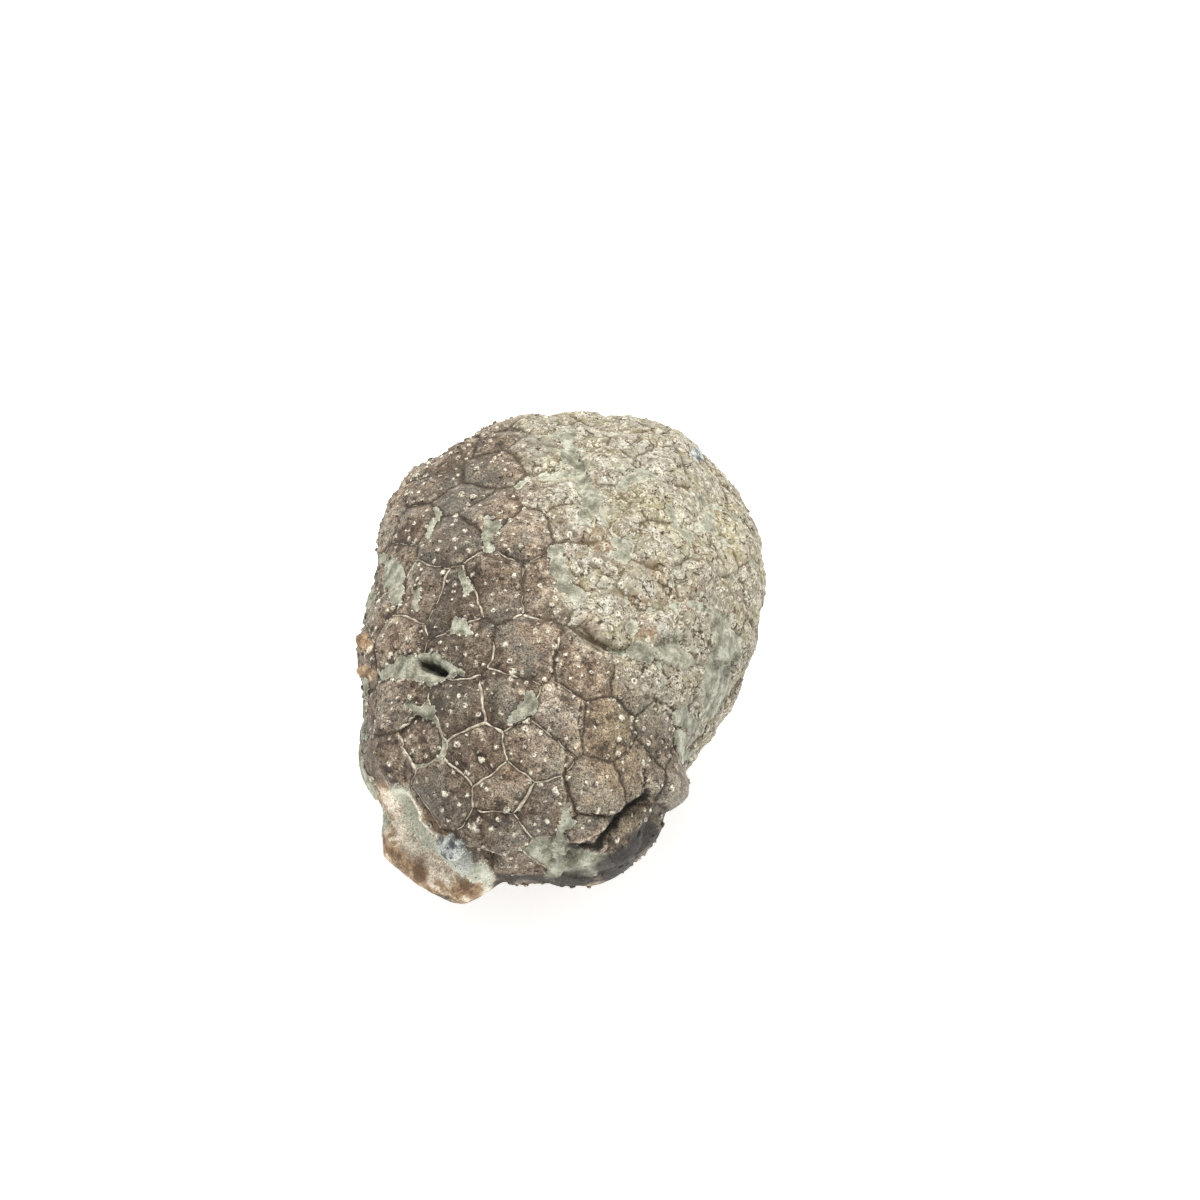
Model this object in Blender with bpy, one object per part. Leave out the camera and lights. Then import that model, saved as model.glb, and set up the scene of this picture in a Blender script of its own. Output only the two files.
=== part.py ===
"""Fossil theca of a cystoid, a stalked sea animal with a body of polygonal plates.

Metres, +Z up. The theca lies on its side: its long axis is along Y with the stalk end
towards -Y, its shortest axis is vertical, and it rests at z = 0 on a small flat spot.
Its shape is worked out in millimetres and scaled to metres at the end.
"""

import math
import random

import bmesh
import bpy
import numpy as np
from mathutils import Vector, noise

METRES = 0.001  # one millimetre

# The body: a flattened ovoid, in millimetres
HALF_WIDTH = 31.0
HALF_LENGTH = 47.5
HALF_HEIGHT = 27.0
MIDDLE = (1.0, -0.7, 26.1)  # of the ovoid: x and y centre the finished box on the origin

# The face that carries the clearest plates looks this way, in degrees
FACE_AZIMUTH = 12.0
FACE_ELEVATION = 46.0

# Radius of the rim around that face, in millimetres, every 15 degrees from its right side
RIM_RADII = (
    31.2, 34.0, 37.0, 38.2, 40.0, 39.0, 38.2, 37.8, 36.5, 37.0, 33.8, 31.8,
    32.2, 32.6, 36.2, 36.9, 37.4, 37.0, 36.6, 36.0, 31.2, 27.6, 27.2, 28.7,
)

# Plate centres on the face, as millimetres to the right of its middle and above it
KEPT_PLATES = (
    (-25, 2), (-15.5, 1), (-16.5, 6.5), (-22.5, 8), (-23.5, 20.5), (-17, 18.5),
    (-11.5, 29), (-20.5, 26.5), (-11.5, 22), (-5.5, 19), (-9.5, 10), (-1.5, 10),
    (-5.5, 0), (-8.5, -7), (-15.5, -8.5), (-25, -8), (-26.5, -17), (-18, -21.5),
    (-13, -16), (-4, -14.5), (-8.5, -21.5), (-2.5, -24.5), (-9.5, -28.5),
    (-6.5, -34), (8, -11.5), (0, -10), (4, -2.5), (15.5, -12.5), (6.5, -21.5),
    (17, -20.5), (11, -29), (12, -5), (19.5, -5.5), (21.5, -12),
)
WORN_PLATES = (
    (-3.5, 32.5), (-1, 25), (8, 6), (4.5, 14.5), (9, 22.5), (6, 30.5), (4, 35),
    (12, 33.5), (17, 30), (19.5, 23), (16.5, 16.5), (25.5, 16), (14, 9.5),
    (21.5, 11), (15.5, 4), (28, 8), (22, 28.5), (15, 24), (29, 17.5), (22, 3),
)
LOST_PLATES = (
    (26, 1), (25.5, -6), (-1, -32.5), (4.5, -34.5), (-30.3, 14), (-31.2, 7.5),
    (-31.6, -8),
)
PLATE_SPACING = 7.3  # least distance between the centres of the remaining plates
LOST_SHARE = 0.07  # of those plates
SEED = 11

# Relief of the plates, in millimetres
SUTURE_DEPTH = 0.75
SUTURE_WIDTH = 1.1
DOME = 0.35
DOME_REACH = 3.0
PLATE_STEP = 0.2  # random difference in level between plates
PLATE_TILT = 0.05  # random slope of a plate
WORN_DEPTH = 0.25
LOST_DEPTH = 1.1
EDGE_WANDER = 0.8  # how far the sutures stray from straight lines
EDGE_WANDER_SIZE = 6.0

# Lumps of the crushed body: height and size, in millimetres
LUMPS = ((0.8, 21.0), (0.5, 11.0), (0.22, 5.0))

# Larger forms on the face: (height, half width, points as right and above), in millimetres
FORMS = (
    # the broken stalk end: a raised lip, with a trough along its upper side
    (5.4, 7.0, ((-24, -29.5), (-20.5, -33.8), (-16, -36.8))),
    (-3.4, 4.4, ((-24.5, -25), (-21, -29.3), (-17, -32), (-12, -32.5))),
    (1.6, 2.6, ((-16.6, -31.2), (-15.2, -31))),
    # the left flank, where a row of plates has flaked off and two crumbs remain
    (-1.2, 5.0, ((-31, 21), (-32, 12), (-32.5, 0), (-31.5, -8), (-30.5, -13))),
    (1.2, 1.8, ((-30.6, 1.6), (-30.4, 1.2))),
    (1.0, 1.7, ((-30.5, -3.3), (-30.4, -3.7))),
    # a boss low on the right, with a notch beside it
    (2.4, 6.0, ((16.0, -20.0), (17.5, -21.5))),
    (-1.6, 2.6, ((20.5, -17.4), (23.5, -18.2))),
    # a deep crease between the boss and the lower edge, with a shelf under it
    (-3.4, 3.4, ((13.5, -22.5), (9.5, -26.5), (5, -30.5), (1.5, -33.5))),
    (0.8, 4.5, ((14.5, -27.5), (8.5, -32.5))),
    # smaller creases and hollows
    (-1.0, 1.8, ((3, 4), (6, 1), (10.5, 0))),
    (-1.1, 2.0, ((2.5, 31.5), (3.8, 24))),
    (-1.3, 2.4, ((16.5, 1.5), (19.5, 1.3))),
    (-1.4, 2.2, ((27.8, -2), (27.6, -3))),
    (-1.6, 1.9, ((-20.8, -2.5), (-19.2, -2.8))),
    (-1.0, 3.0, ((-1, -32.5), (0.5, -33.5))),
)

# Where no plates are left, as (half width, points as right and above), in millimetres:
# the broken stalk end, and the strip down the left flank
BARE_STRIPS = (
    (7.5, ((-25.5, -29), (-21.5, -32.5), (-15.5, -36.5))),
    (3.2, ((-31, 17), (-32, 12), (-32.5, 0), (-31.5, -8), (-30, -15), (-26, -22.5))),
)
BARE_LEVEL = -0.2
BARE_EDGE = 1.5  # width over which the plates give way

# The relief fades out around the flat spot, so that the cut across it is one clean loop.
# Heights above the lowest point of the plain body, in millimetres
PLAIN_BELOW = 1.0
FULL_RELIEF_ABOVE = 3.2

SPHERE_SUBDIVISIONS = 7
TRIANGLES = 9000

STONE_COLOUR = (0.36, 0.33, 0.27, 1.0)
STONE_ROUGHNESS = 0.85


def face_axes():
    """Unit vectors to the right of the face, up along it and out of it."""
    azimuth, elevation = math.radians(FACE_AZIMUTH), math.radians(FACE_ELEVATION)
    right = np.array((math.cos(azimuth), math.sin(azimuth), 0.0))
    out = np.array((
        math.sin(azimuth) * math.cos(elevation),
        -math.cos(azimuth) * math.cos(elevation),
        math.sin(elevation),
    ))
    return right, np.cross(out, right), out


RIGHT, UP, OUT = face_axes()
OVOID = 1 / np.array((HALF_WIDTH, HALF_LENGTH, HALF_HEIGHT)) ** 2
OUT_OVOID = OUT @ (OVOID * OUT)
THICKNESS = OUT_OVOID**-0.5  # half thickness of the ovoid through the middle of the face


def smooth_step(x):
    x = np.clip(x, 0, 1)
    return x * x * (3 - 2 * x)


def rim_radius(angle):
    """The rim's radii joined by a smooth periodic curve."""
    terms = np.fft.rfft(RIM_RADII) / len(RIM_RADII)
    order = np.arange(len(terms))
    weight = np.where((order == 0) | (order == order[-1]), 1, 2)
    waves = terms * np.exp(1j * np.multiply.outer(angle, order))
    return (weight * waves.real).sum(-1)


def body_points(directions):
    """Points of the plain body for unit vectors given along the face's three axes."""
    angle = np.arctan2(directions[:, 1], directions[:, 0])
    radius = np.hypot(directions[:, 0], directions[:, 1]) * rim_radius(angle)
    across = np.outer(radius * np.cos(angle), RIGHT) + np.outer(radius * np.sin(angle), UP)
    # half way through the ovoid, seen along the face's own direction
    middle = -(across * OVOID) @ OUT / OUT_OVOID
    return across + np.outer(middle + THICKNESS * directions[:, 2], OUT)


def on_face(places):
    """Points of the body's face for places given as right and above, in millimetres."""
    places = np.array(places, float)
    angle = np.arctan2(places[:, 1], places[:, 0])
    share = np.minimum(np.hypot(places[:, 0], places[:, 1]) / rim_radius(angle), 0.999)
    height = np.sqrt(1 - share**2)
    return body_points(np.stack((share * np.cos(angle), share * np.sin(angle), height), 1))


def plate_centres():
    """The centres of all plates, and for each how far it is worn and whether it is lost."""
    centres = [*on_face(KEPT_PLATES), *on_face(WORN_PLATES), *on_face(LOST_PLATES)]
    worn = [0] * len(KEPT_PLATES) + [1] * len(WORN_PLATES) + [0] * len(LOST_PLATES)
    lost = [0] * (len(KEPT_PLATES) + len(WORN_PLATES)) + [1] * len(LOST_PLATES)
    rng = random.Random(SEED)
    for _ in range(6000):
        direction = Vector([rng.gauss(0, 1) for _ in range(3)]).normalized()
        centre = body_points(np.array([direction]))[0]
        if min(np.linalg.norm(np.array(centres) - centre, axis=1)) >= PLATE_SPACING:
            centres.append(centre)
            worn.append(rng.random())
            lost.append(float(rng.random() < LOST_SHARE))
    return np.array(centres), np.array(worn), np.array(lost)


def noise_at(points, size):
    return np.array([noise.noise(Vector(point)) for point in points / size])


def wandering(points):
    """The points shifted a little, so that planes between plates become wavy sutures."""
    shift = [noise.noise_vector(Vector(point)) for point in points / EDGE_WANDER_SIZE]
    return points + EDGE_WANDER * np.array(shift)


def distance_to_line(points, line):
    nearest = np.full(len(points), np.inf)
    for start, end in zip(line[:-1], line[1:], strict=True):
        along = end - start
        share = np.clip((points - start) @ along / (along @ along), 0, 1)
        gap = np.linalg.norm(points - start - share[:, None] * along, axis=1)
        nearest = np.minimum(nearest, gap)
    return nearest


def plate_relief(points):
    """Height of the plated surface above the plain body."""
    centres, worn, lost = plate_centres()
    rng = random.Random(SEED + 1)
    step = np.array([rng.uniform(-PLATE_STEP, PLATE_STEP) for _ in centres])
    tilt = np.array([[rng.gauss(0, PLATE_TILT) for _ in range(3)] for _ in centres])
    moved = wandering(points)
    squared = ((moved[:, None, :] - centres[None]) ** 2).sum(-1)
    nearest = np.argsort(squared, axis=1)[:, :4]
    own = nearest[:, 0]
    rows = np.arange(len(points))
    to_suture = np.full(len(points), np.inf)
    for other in nearest[:, 1:].T:
        apart = np.linalg.norm(centres[own] - centres[other], axis=1)
        gap = (squared[rows, other] - squared[rows, own]) / (2 * apart)
        to_suture = np.minimum(to_suture, gap)
    dome = DOME * (1 - np.exp(-((to_suture / DOME_REACH) ** 2)))
    own_level = step[own] + ((moved - centres[own]) * tilt[own]).sum(1)
    own_level *= 1 - np.exp(-to_suture / SUTURE_WIDTH)
    plate = dome + own_level - SUTURE_DEPTH * np.exp(-to_suture / SUTURE_WIDTH)
    plate -= WORN_DEPTH * worn[own]
    # a lost plate leaves a shallow bed whose edge is the wall of the plates around it
    plate = np.where(lost[own] > 0, -LOST_DEPTH, plate)
    bare = np.zeros(len(points))
    for half_width, places in BARE_STRIPS:
        inside = half_width - distance_to_line(points, on_face(places))
        bare = np.maximum(bare, smooth_step(inside / BARE_EDGE))
    return plate + bare * (BARE_LEVEL - plate)


def lump_relief(points):
    return sum(amount * noise_at(points, size) for amount, size in LUMPS)


def form_relief(points):
    """Height of the larger forms."""
    height = np.zeros(len(points))
    for amount, half_width, places in FORMS:
        gap = distance_to_line(points, on_face(places))
        height += amount * smooth_step(1 - gap / half_width)
    return height


def make_theca():
    """The plated body as a dense ball pushed into shape."""
    mesh = bmesh.new()
    bmesh.ops.create_icosphere(mesh, subdivisions=SPHERE_SUBDIVISIONS, radius=1.0)
    points = body_points(np.array([vertex.co.normalized() for vertex in mesh.verts]))
    for vertex, point in zip(mesh.verts, points, strict=True):
        vertex.co = point
    mesh.normal_update()
    normals = np.array([vertex.normal for vertex in mesh.verts])
    above = points[:, 2] - points[:, 2].min() - PLAIN_BELOW
    fade = smooth_step(above / (FULL_RELIEF_ABOVE - PLAIN_BELOW))
    height = lump_relief(points) + fade * (form_relief(points) + plate_relief(points))
    points += normals * height[:, None] + np.array(MIDDLE)
    for vertex, point in zip(mesh.verts, points, strict=True):
        vertex.co = point * METRES
    data = bpy.data.meshes.new("theca")
    mesh.to_mesh(data)
    mesh.free()
    data.shade_smooth()
    return bpy.data.objects.new("theca", data)


def thin_out(theca):
    """Merges the dense faces until only those that the relief needs are left."""
    modifier = theca.modifiers.new("thin_out", "DECIMATE")
    modifier.ratio = TRIANGLES / len(theca.data.polygons)


def cut_flat_spot(theca, cutters):
    """Takes off everything below z = 0 with a large block."""
    mesh = bmesh.new()
    bmesh.ops.create_cube(mesh, size=4 * HALF_LENGTH * METRES)
    data = bpy.data.meshes.new("ground")
    mesh.to_mesh(data)
    mesh.free()
    ground = bpy.data.objects.new("ground", data)
    ground.location.z = -2 * HALF_LENGTH * METRES
    ground.hide_render = True
    ground.display_type = "WIRE"
    cutters.objects.link(ground)
    modifier = theca.modifiers.new("flat_spot", "BOOLEAN")
    modifier.operation = "DIFFERENCE"
    modifier.solver = "EXACT"
    modifier.object = ground


def stone_material():
    material = bpy.data.materials.new("fossil_limestone")
    material.use_nodes = True
    shader = material.node_tree.nodes["Principled BSDF"]
    shader.inputs["Base Color"].default_value = STONE_COLOUR
    shader.inputs["Roughness"].default_value = STONE_ROUGHNESS
    shader.inputs["Metallic"].default_value = 0.0
    return material


def new_collection(name):
    collection = bpy.data.collections.new(name)
    bpy.context.scene.collection.children.link(collection)
    return collection


def main():
    for old in list(bpy.data.objects):
        bpy.data.objects.remove(old)
    noise.seed_set(SEED)
    theca = make_theca()
    theca.data.materials.append(stone_material())
    new_collection("cystoid_fossil").objects.link(theca)
    thin_out(theca)
    cut_flat_spot(theca, new_collection("cutters"))


main()
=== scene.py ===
"""Looks of a fossil cystoid theca: plated skin, pimples, mineral veins and dried mud.

All sizes are in millimetres until a mesh is filled, where they turn into metres.
The skin follows the same ovoid, rim, plates and larger forms as the solid theca.
"""

import math
import random

import bmesh
import bpy
import numpy as np
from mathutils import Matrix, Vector, noise
from mathutils.kdtree import KDTree


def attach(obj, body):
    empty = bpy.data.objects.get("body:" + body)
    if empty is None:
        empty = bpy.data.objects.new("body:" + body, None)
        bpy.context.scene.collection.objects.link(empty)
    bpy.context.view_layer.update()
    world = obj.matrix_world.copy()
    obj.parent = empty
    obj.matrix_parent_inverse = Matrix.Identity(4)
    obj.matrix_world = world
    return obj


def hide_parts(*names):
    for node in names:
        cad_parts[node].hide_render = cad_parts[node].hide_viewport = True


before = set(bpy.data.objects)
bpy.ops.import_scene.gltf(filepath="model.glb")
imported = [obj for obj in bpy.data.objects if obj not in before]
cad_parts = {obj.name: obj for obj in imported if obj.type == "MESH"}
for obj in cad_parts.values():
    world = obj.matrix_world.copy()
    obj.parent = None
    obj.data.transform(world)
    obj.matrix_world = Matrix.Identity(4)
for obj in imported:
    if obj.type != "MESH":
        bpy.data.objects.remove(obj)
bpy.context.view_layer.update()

METRES = 0.001  # one millimetre

# ---------------- the body, as in the solid

HALF_WIDTH = 31.0
HALF_LENGTH = 47.5
HALF_HEIGHT = 27.0
MIDDLE = (1.0, -0.7, 26.1)

FACE_AZIMUTH = 12.0
FACE_ELEVATION = 46.0

RIM_RADII = (
    31.2, 34.0, 37.0, 38.2, 40.0, 39.0, 38.2, 37.8, 36.5, 37.0, 33.8, 31.8,
    32.2, 32.6, 36.2, 36.9, 37.4, 37.0, 36.6, 36.0, 31.2, 27.6, 27.2, 28.7,
)

# Plate centres on the face, as millimetres to the right of its middle and above it
KEPT_PLATES = (
    (-25, 2), (-15.5, 1), (-16.5, 6.5), (-22.5, 8), (-23.5, 20.5), (-17, 18.5),
    (-11.5, 29), (-20.5, 26.5), (-11.5, 22), (-5.5, 19), (-9.5, 10), (-1.5, 10),
    (-5.5, 0), (-8.5, -7), (-15.5, -8.5), (-25, -8), (-26.5, -17), (-18, -21.5),
    (-13, -16), (-4, -14.5), (-8.5, -21.5), (-2.5, -24.5), (-9.5, -28.5),
    (-6.5, -34), (8, -11.5), (0, -10), (4, -2.5), (15.5, -12.5), (6.5, -21.5),
    (17, -20.5), (11, -29), (12, -5), (19.5, -5.5), (21.5, -12),
)
WORN_PLATES = (
    (-3.5, 32.5), (-1, 25), (8, 6), (4.5, 14.5), (9, 22.5), (6, 30.5), (4, 35),
    (12, 33.5), (17, 30), (19.5, 23), (16.5, 16.5), (25.5, 16), (14, 9.5),
    (21.5, 11), (15.5, 4), (28, 8), (22, 28.5), (15, 24), (29, 17.5), (22, 3),
)
LOST_PLATES = (
    (26, 1), (25.5, -6), (-1, -32.5), (4.5, -34.5), (-30.3, 14), (-31.2, 7.5),
    (-31.6, -8),
)
PLATE_SPACING = 7.3
LOST_SHARE = 0.07
PLATE_TRIES = 6000  # places tried all round the body, for plates where none is listed
SEED = 11

SUTURE_DEPTH = 0.75
SUTURE_WIDTH = 1.1
DOME = 0.35
DOME_REACH = 3.0
PLATE_STEP = 0.2
PLATE_TILT = 0.05
WORN_DEPTH = 0.25
LOST_DEPTH = 1.1
EDGE_WANDER = 0.8
EDGE_WANDER_SIZE = 6.0

LUMPS = ((0.8, 21), (0.5, 11), (0.22, 5))

# Larger forms on the face: (height, half width, points as right and above)
FORMS = (
    # the broken stalk end: a raised lip, with a trough along its upper side
    (5.4, 7, ((-24, -29.5), (-20.5, -33.8), (-16, -36.8))),
    (-3.4, 4.4, ((-24.5, -25), (-21, -29.3), (-17, -32), (-12, -32.5))),
    (1.6, 2.6, ((-16.6, -31.2), (-15.2, -31))),
    # the left flank, where a row of plates has flaked off and two crumbs remain
    (-1.2, 5, ((-31, 21), (-32, 12), (-32.5, 0), (-31.5, -8), (-30.5, -13))),
    (1.2, 1.8, ((-30.6, 1.6), (-30.4, 1.2))),
    (1, 1.7, ((-30.5, -3.3), (-30.4, -3.7))),
    # a boss low on the right, with a notch beside it
    (2.4, 6, ((16, -20), (17.5, -21.5))),
    (-1.6, 2.6, ((20.5, -17.4), (23.5, -18.2))),
    # a crease between the boss and the lower edge, narrower than the solid's
    (-1.7, 2.3, ((13.5, -22.5), (9.5, -26.5), (5, -30.5), (1.5, -33.5))),
    (0.8, 4.5, ((14.5, -27.5), (8.5, -32.5))),
    # smaller creases and hollows
    (-1, 1.8, ((3, 4), (6, 1), (10.5, 0))),
    (-1.1, 2, ((2.5, 31.5), (3.8, 24))),
    (-1.3, 2.4, ((16.5, 1.5), (19.5, 1.3))),
    (-1.4, 2.2, ((27.8, -2), (27.6, -3))),
    (-1.6, 1.9, ((-20.8, -2.5), (-19.2, -2.8))),
    (-1, 3, ((-1, -32.5), (0.5, -33.5))),
)
BARE_STRIPS = (
    (7.5, ((-25.5, -29), (-21.5, -32.5), (-15.5, -36.5))),
    (3.2, ((-31, 17), (-32, 12), (-32.5, 0), (-31.5, -8), (-30, -15), (-26, -22.5))),
)
BARE_LEVEL = -0.2
BARE_EDGE = 1.5

PLAIN_BELOW = 1.0
FULL_RELIEF_ABOVE = 3.2

# ---------------- fine relief of the skin

SPHERE_SUBDIVISIONS = 8
FACE_SHARE = 0.72  # under 1, the ball's vertices crowd towards the face
SKIN_TRIANGLES = 196000
# Fields of how deep a place lies: (rounds of blurring, depth that counts in full); the finish
# paints shade into deep places and a highlight onto raised ones
DEPTHS = {"pore": (6, 0.1), "hollow": (60, 0.5)}

SUTURE_FLOOR = 0.9  # the fill that rounds off the bottom of the sutures starts here
SNAP = 0.15  # vertices nearer to a suture than this are moved onto it
FINE_WANDER = 0.3  # small wobble of the sutures
FINE_WANDER_SIZE = 1.6
CLEFT_DEPTH = 0.1  # sharp cleft at the bottom of a suture
CLEFT_WIDTH = 0.22
GRAIN = ((0.12, 2.4), (0.09, 1.2), (0.05, 0.6))  # height and size of the plates' grain
FLAKE_STEP = 0.1  # height of one flaked layer on weathered plates
FLAKE_SIZE = 5.0
FLAKE_LAYERS = 3.0
RUGGED_HEIGHT = 0.2  # creases of the weathered plates
RUGGED_SIZE = 2.6
WORN_DOME = 0.2  # weathered plates are rounder
WORN_DOME_REACH = 1.8

# Dried mud: it fills everything below this level, give or take its own lumps
MUD_LEVEL = -0.86
MUD_SPREAD = (0.3, 7.0)  # how much that level changes from place to place, and the size of it
MUD_LUMPS = ((0.08, 2.6), (0.04, 0.8))
MUD_WHERE_WORN = (0.1, 0.5, 4.0)  # it lies that much higher between weathered plates, unevenly
# Patches of mud that stand higher: (level, half width, points as right and above)
MUD_PATCHES = (
    (-0.1, 3.1, ((-21.8, -2.4), (-19.4, -2.8))),
    (-0.1, 2, ((-24, -2.6), (-17.4, -2.9))),
    (-0.1, 1.2, ((-27.4, -3.6), (-23, -2.9))),
    (-0.1, 0.8, ((-17.5, -2.9), (-15, -3))),
    (-0.1, 1.4, ((-11.2, 20.2), (-10.8, 16.4))),
    (-0.1, 2.2, ((-27.2, 13.8), (-26, 9.2))),
    (0, 1.3, ((-22.4, 8.8), (-22.2, 8.2))),
    (0, 1, ((-14.7, 12.4), (-14.3, 9.2))),
    (0.1, 1.5, ((-15.6, 3.8), (-15, 2.8))),
    (0.1, 1.5, ((-7.2, -9.9), (-5.2, -9.2), (-4.4, -7.4))),
    (-0.1, 1.1, ((-22.8, -8.6), (-19.8, -9.6))),
    (0.1, 1.1, ((0.4, -24.2), (0.6, -26.4), (0.3, -28.8))),
    (0, 1.7, ((0.4, -29.4), (-0.4, -31.6), (-0.6, -34.4))),
    (-0.3, 2, ((-1.2, 15.2), (2.8, 8.2))),
    (0, 0.9, ((-19.5, 21.8), (-20.4, 18.3))),
    (-0.4, 1.6, ((1.6, 34.2), (1.3, 30.8), (3.1, 28.2), (3.6, 25.8), (4.3, 22.7), (3.6, 20.1))),
    (0, 1.9, ((12, 0.4), (13.2, -0.4))),
    (-0.3, 1.6, ((15.5, 0.8), (20, -1.8))),
    (0.1, 2.7, ((25.6, 1.6), (26.4, -0.4))),
    (0, 1.8, ((19.4, -10.4), (20.8, -12))),
    (0, 1.5, ((18.6, -13.4), (19.2, -15.8))),
    (0.1, 1.9, ((-31.8, -6), (-32.2, -13), (-31.6, -19), (-29.6, -23), (-28.6, -27))),
    (-0.1, 1.5, (
        (-25.2, -21.4), (-23.9, -24.0), (-22.8, -26.5), (-21.4, -28.8), (-20.1, -30.8),
        (-18.2, -32.8), (-16.2, -34.4), (-13.8, -34.8), (-12.2, -34.0), (-11.2, -36.0),
    )),
    (0, 2.2, ((-31.5, 12), (-32, 6))),
)
MUD_DUG = 0.75  # how far the plates lie lower under such a patch
MUD_EDGE = 0.16  # the mud thins out over this height
MUD_RAGGED = (1.2, 1.9)  # how ragged the edge of a patch is, and the size of it
MUD_FREE = (4.5, ((-22.0, -14.0), (-22.4, -13.0)))  # a sunken plate that is bare

# How noise moves the outlines of single places: (amount, size)
MUD_OUTLINE = ((0.45, 0.9), (1, 2.6), (0.9, 5))
FORM_OUTLINE = ((0.25, 1.2),)
STAIN_AND_SHADE_OUTLINE = ((0.7, 2.6), (0.4, 0.9))

# The face weathers towards its upper right; this is the border, from bottom to top
WEATHER_BORDER_ABOVE = (-36, -14.3, 0, 14.3, 31.7)
WEATHER_BORDER_RIGHT = (30, 18.5, 2.8, -0.5, -8)
WEATHER_BLEND = 17.0
WEATHER_RAGGED = ((5, 9), (2, 3.5))  # noise on it: amount and size
# How light the fresh plates are from left to right, between -1 and 1
LIGHT_ACROSS = (-28, -24, -18, -13, -10, -5, 7, 14)
LIGHTNESS = (0.08, -0.05, -1.0, -0.43, -0.25, 0.22, 1.0, -0.7)
LIGHTER_ABOVE = (0.3, 12.0, 8.0)  # by that much, from that height on, over that distance

# Relief that is finer than the solid's: (height, half width, points as right and above)
FINE_FORMS = (
    (1.1, 2.2, ((-17.2, -30.1), (-15.2, -32.5))),
    (-0.9, 1.6, ((-24.2, -22.4), (-22.5, -26.5), (-21.2, -29.4), (-19.8, -31.9), (-17.9, -33.8))),
    (-0.6, 0.8, (
        (13.2, -18.4), (13.2, -22.5), (10.2, -24.3), (8, -27), (5.7, -30.3), (2.1, -30.3),
    )),
    (0.5, 1.3, ((-20.8, -2.6), (-19.2, -2.9))),
    (-1.5, 0.9, ((-21.7, -1.8), (-19.6, -2.5), (-18, -3.2))),
    (-0.35, 0.5, ((24.1, 17.4), (24.9, 15.6), (24.8, 14.6))),
    (-0.35, 0.45, ((5, 23.8), (4.8, 20))),
    (-0.35, 0.4, ((3.4, -7.8), (3, -10.5), (3.4, -13.5))),
    (-0.35, 0.4, ((-0.6, 1.8), (-0.8, -2), (-0.4, -5.6))),
    (-0.35, 0.4, ((1.1, -14.2), (0.9, -19), (1.4, -24))),
    (-0.35, 0.5, ((3.6, 3.4), (5.6, 1.4), (8, 0.2))),
    (-0.9, 0.6, ((13, 30.2), (13.1, 30.1))),
    (-0.7, 0.8, ((16, -8), (16.1, -8.1))),
)

# Finish of single places: (half width, points as right and above)
CALCITE = (
    (8, ((-28.5, -26), (-25.5, -31.5), (-20, -37), (-12.5, -39.5))),
    (1.9, ((-31.2, 1.6), (-30.8, 1.2))),
    (1.8, ((-30.8, -3.3), (-30.4, -3.7))),
)
SLATE = (
    (3.1, ((-17.3, -29.9), (-15, -32.7))),
    (1.8, ((21.8, 31.6), (22.2, 31))),
)
RUST = (
    (3.6, ((5.2, 18.2), (9.4, 15.6))),
    (2.7, ((15.2, 12.8), (16.8, 9.4))),
    (2.4, ((4, 4.6), (5.4, 2.6))),
    (1.8, ((12, 8.2), (13, 7.6))),
    (2, ((18.4, 8.2), (19.4, 7.6))),
    (2, ((11.5, 4.4), (14, 2.8))),
    (1.2, ((-24.6, -20.4), (-20.6, -26.2), (-17.4, -28.6))),
)
OCHRE = (
    (2.2, ((0.6, -16), (1.6, -19), (1.2, -22.4))),
    (2.4, ((12, 1.2), (13.2, -0.6))),
    (5, ((25, 22), (27.5, 14))),
    (4.6, ((15.4, 23), (19, 18.6))),
    (8, ((8.5, -11), (9.5, -24))),
)
SMOOTH = (
    (2.8, ((-9.8, 4), (-8.6, 3.2))),
    (4.6, ((-5.9, 0.8), (-5, -0.8))),
    (3.4, ((-4.4, 32.6), (-2.8, 32.4))),
    (2, ((-18.6, -19.6), (-17.6, -21.6))),
    (3, ((-9.4, -5.6), (-8, -8.6))),
    (5.6, ((16.6, -21), (17.8, -23.4))),
    (6, ((-17.5, 21.5), (-13.5, 26))),
)
# Painted shade: the crease and the shelf low on the right, the small opening at the left and the
# lower edge are darkened where shade falls
PAINTED_SHADE = (
    (0.5, ((13.2, -19.2), (13.1, -22))),
    (1, ((13.1, -22), (10, -24.5), (7.8, -27.2))),
    (1.5, ((8.4, -26.4), (5.6, -30.2), (2, -30.6))),
    (3.5, ((13.5, -28.5), (10.5, -31.5), (7, -35))),
    (1.05, ((-21.7, -1.8), (-19.6, -2.5), (-18, -3.2))),
    (3.2, ((-9, -36.2), (-3, -36.7), (4, -36.2))),
)
CREAM = (
    (2.3, ((-26.4, -23), (-24.9, -26.2), (-23.8, -28.8), (-22.6, -31))),
    (0.9, ((-20.8, -33), (-18.6, -34.9), (-17.6, -35.6))),
    (1, ((-12.2, -33), (-10.8, -35.4), (-11.6, -38))),
    (1, ((-22.9, -23.4), (-21.4, -26.4), (-19.4, -28.8))),
    (0.7, ((-13.8, -27), (-12.9, -27.2))),
    (1.9, ((-15.2, -32.4), (-14.6, -33.2))),
    (1.9, ((-24.6, -21.6), (-22.8, -26.5), (-20.1, -30.8), (-17.6, -33.4), (-12.6, -34.6))),
)

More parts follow.
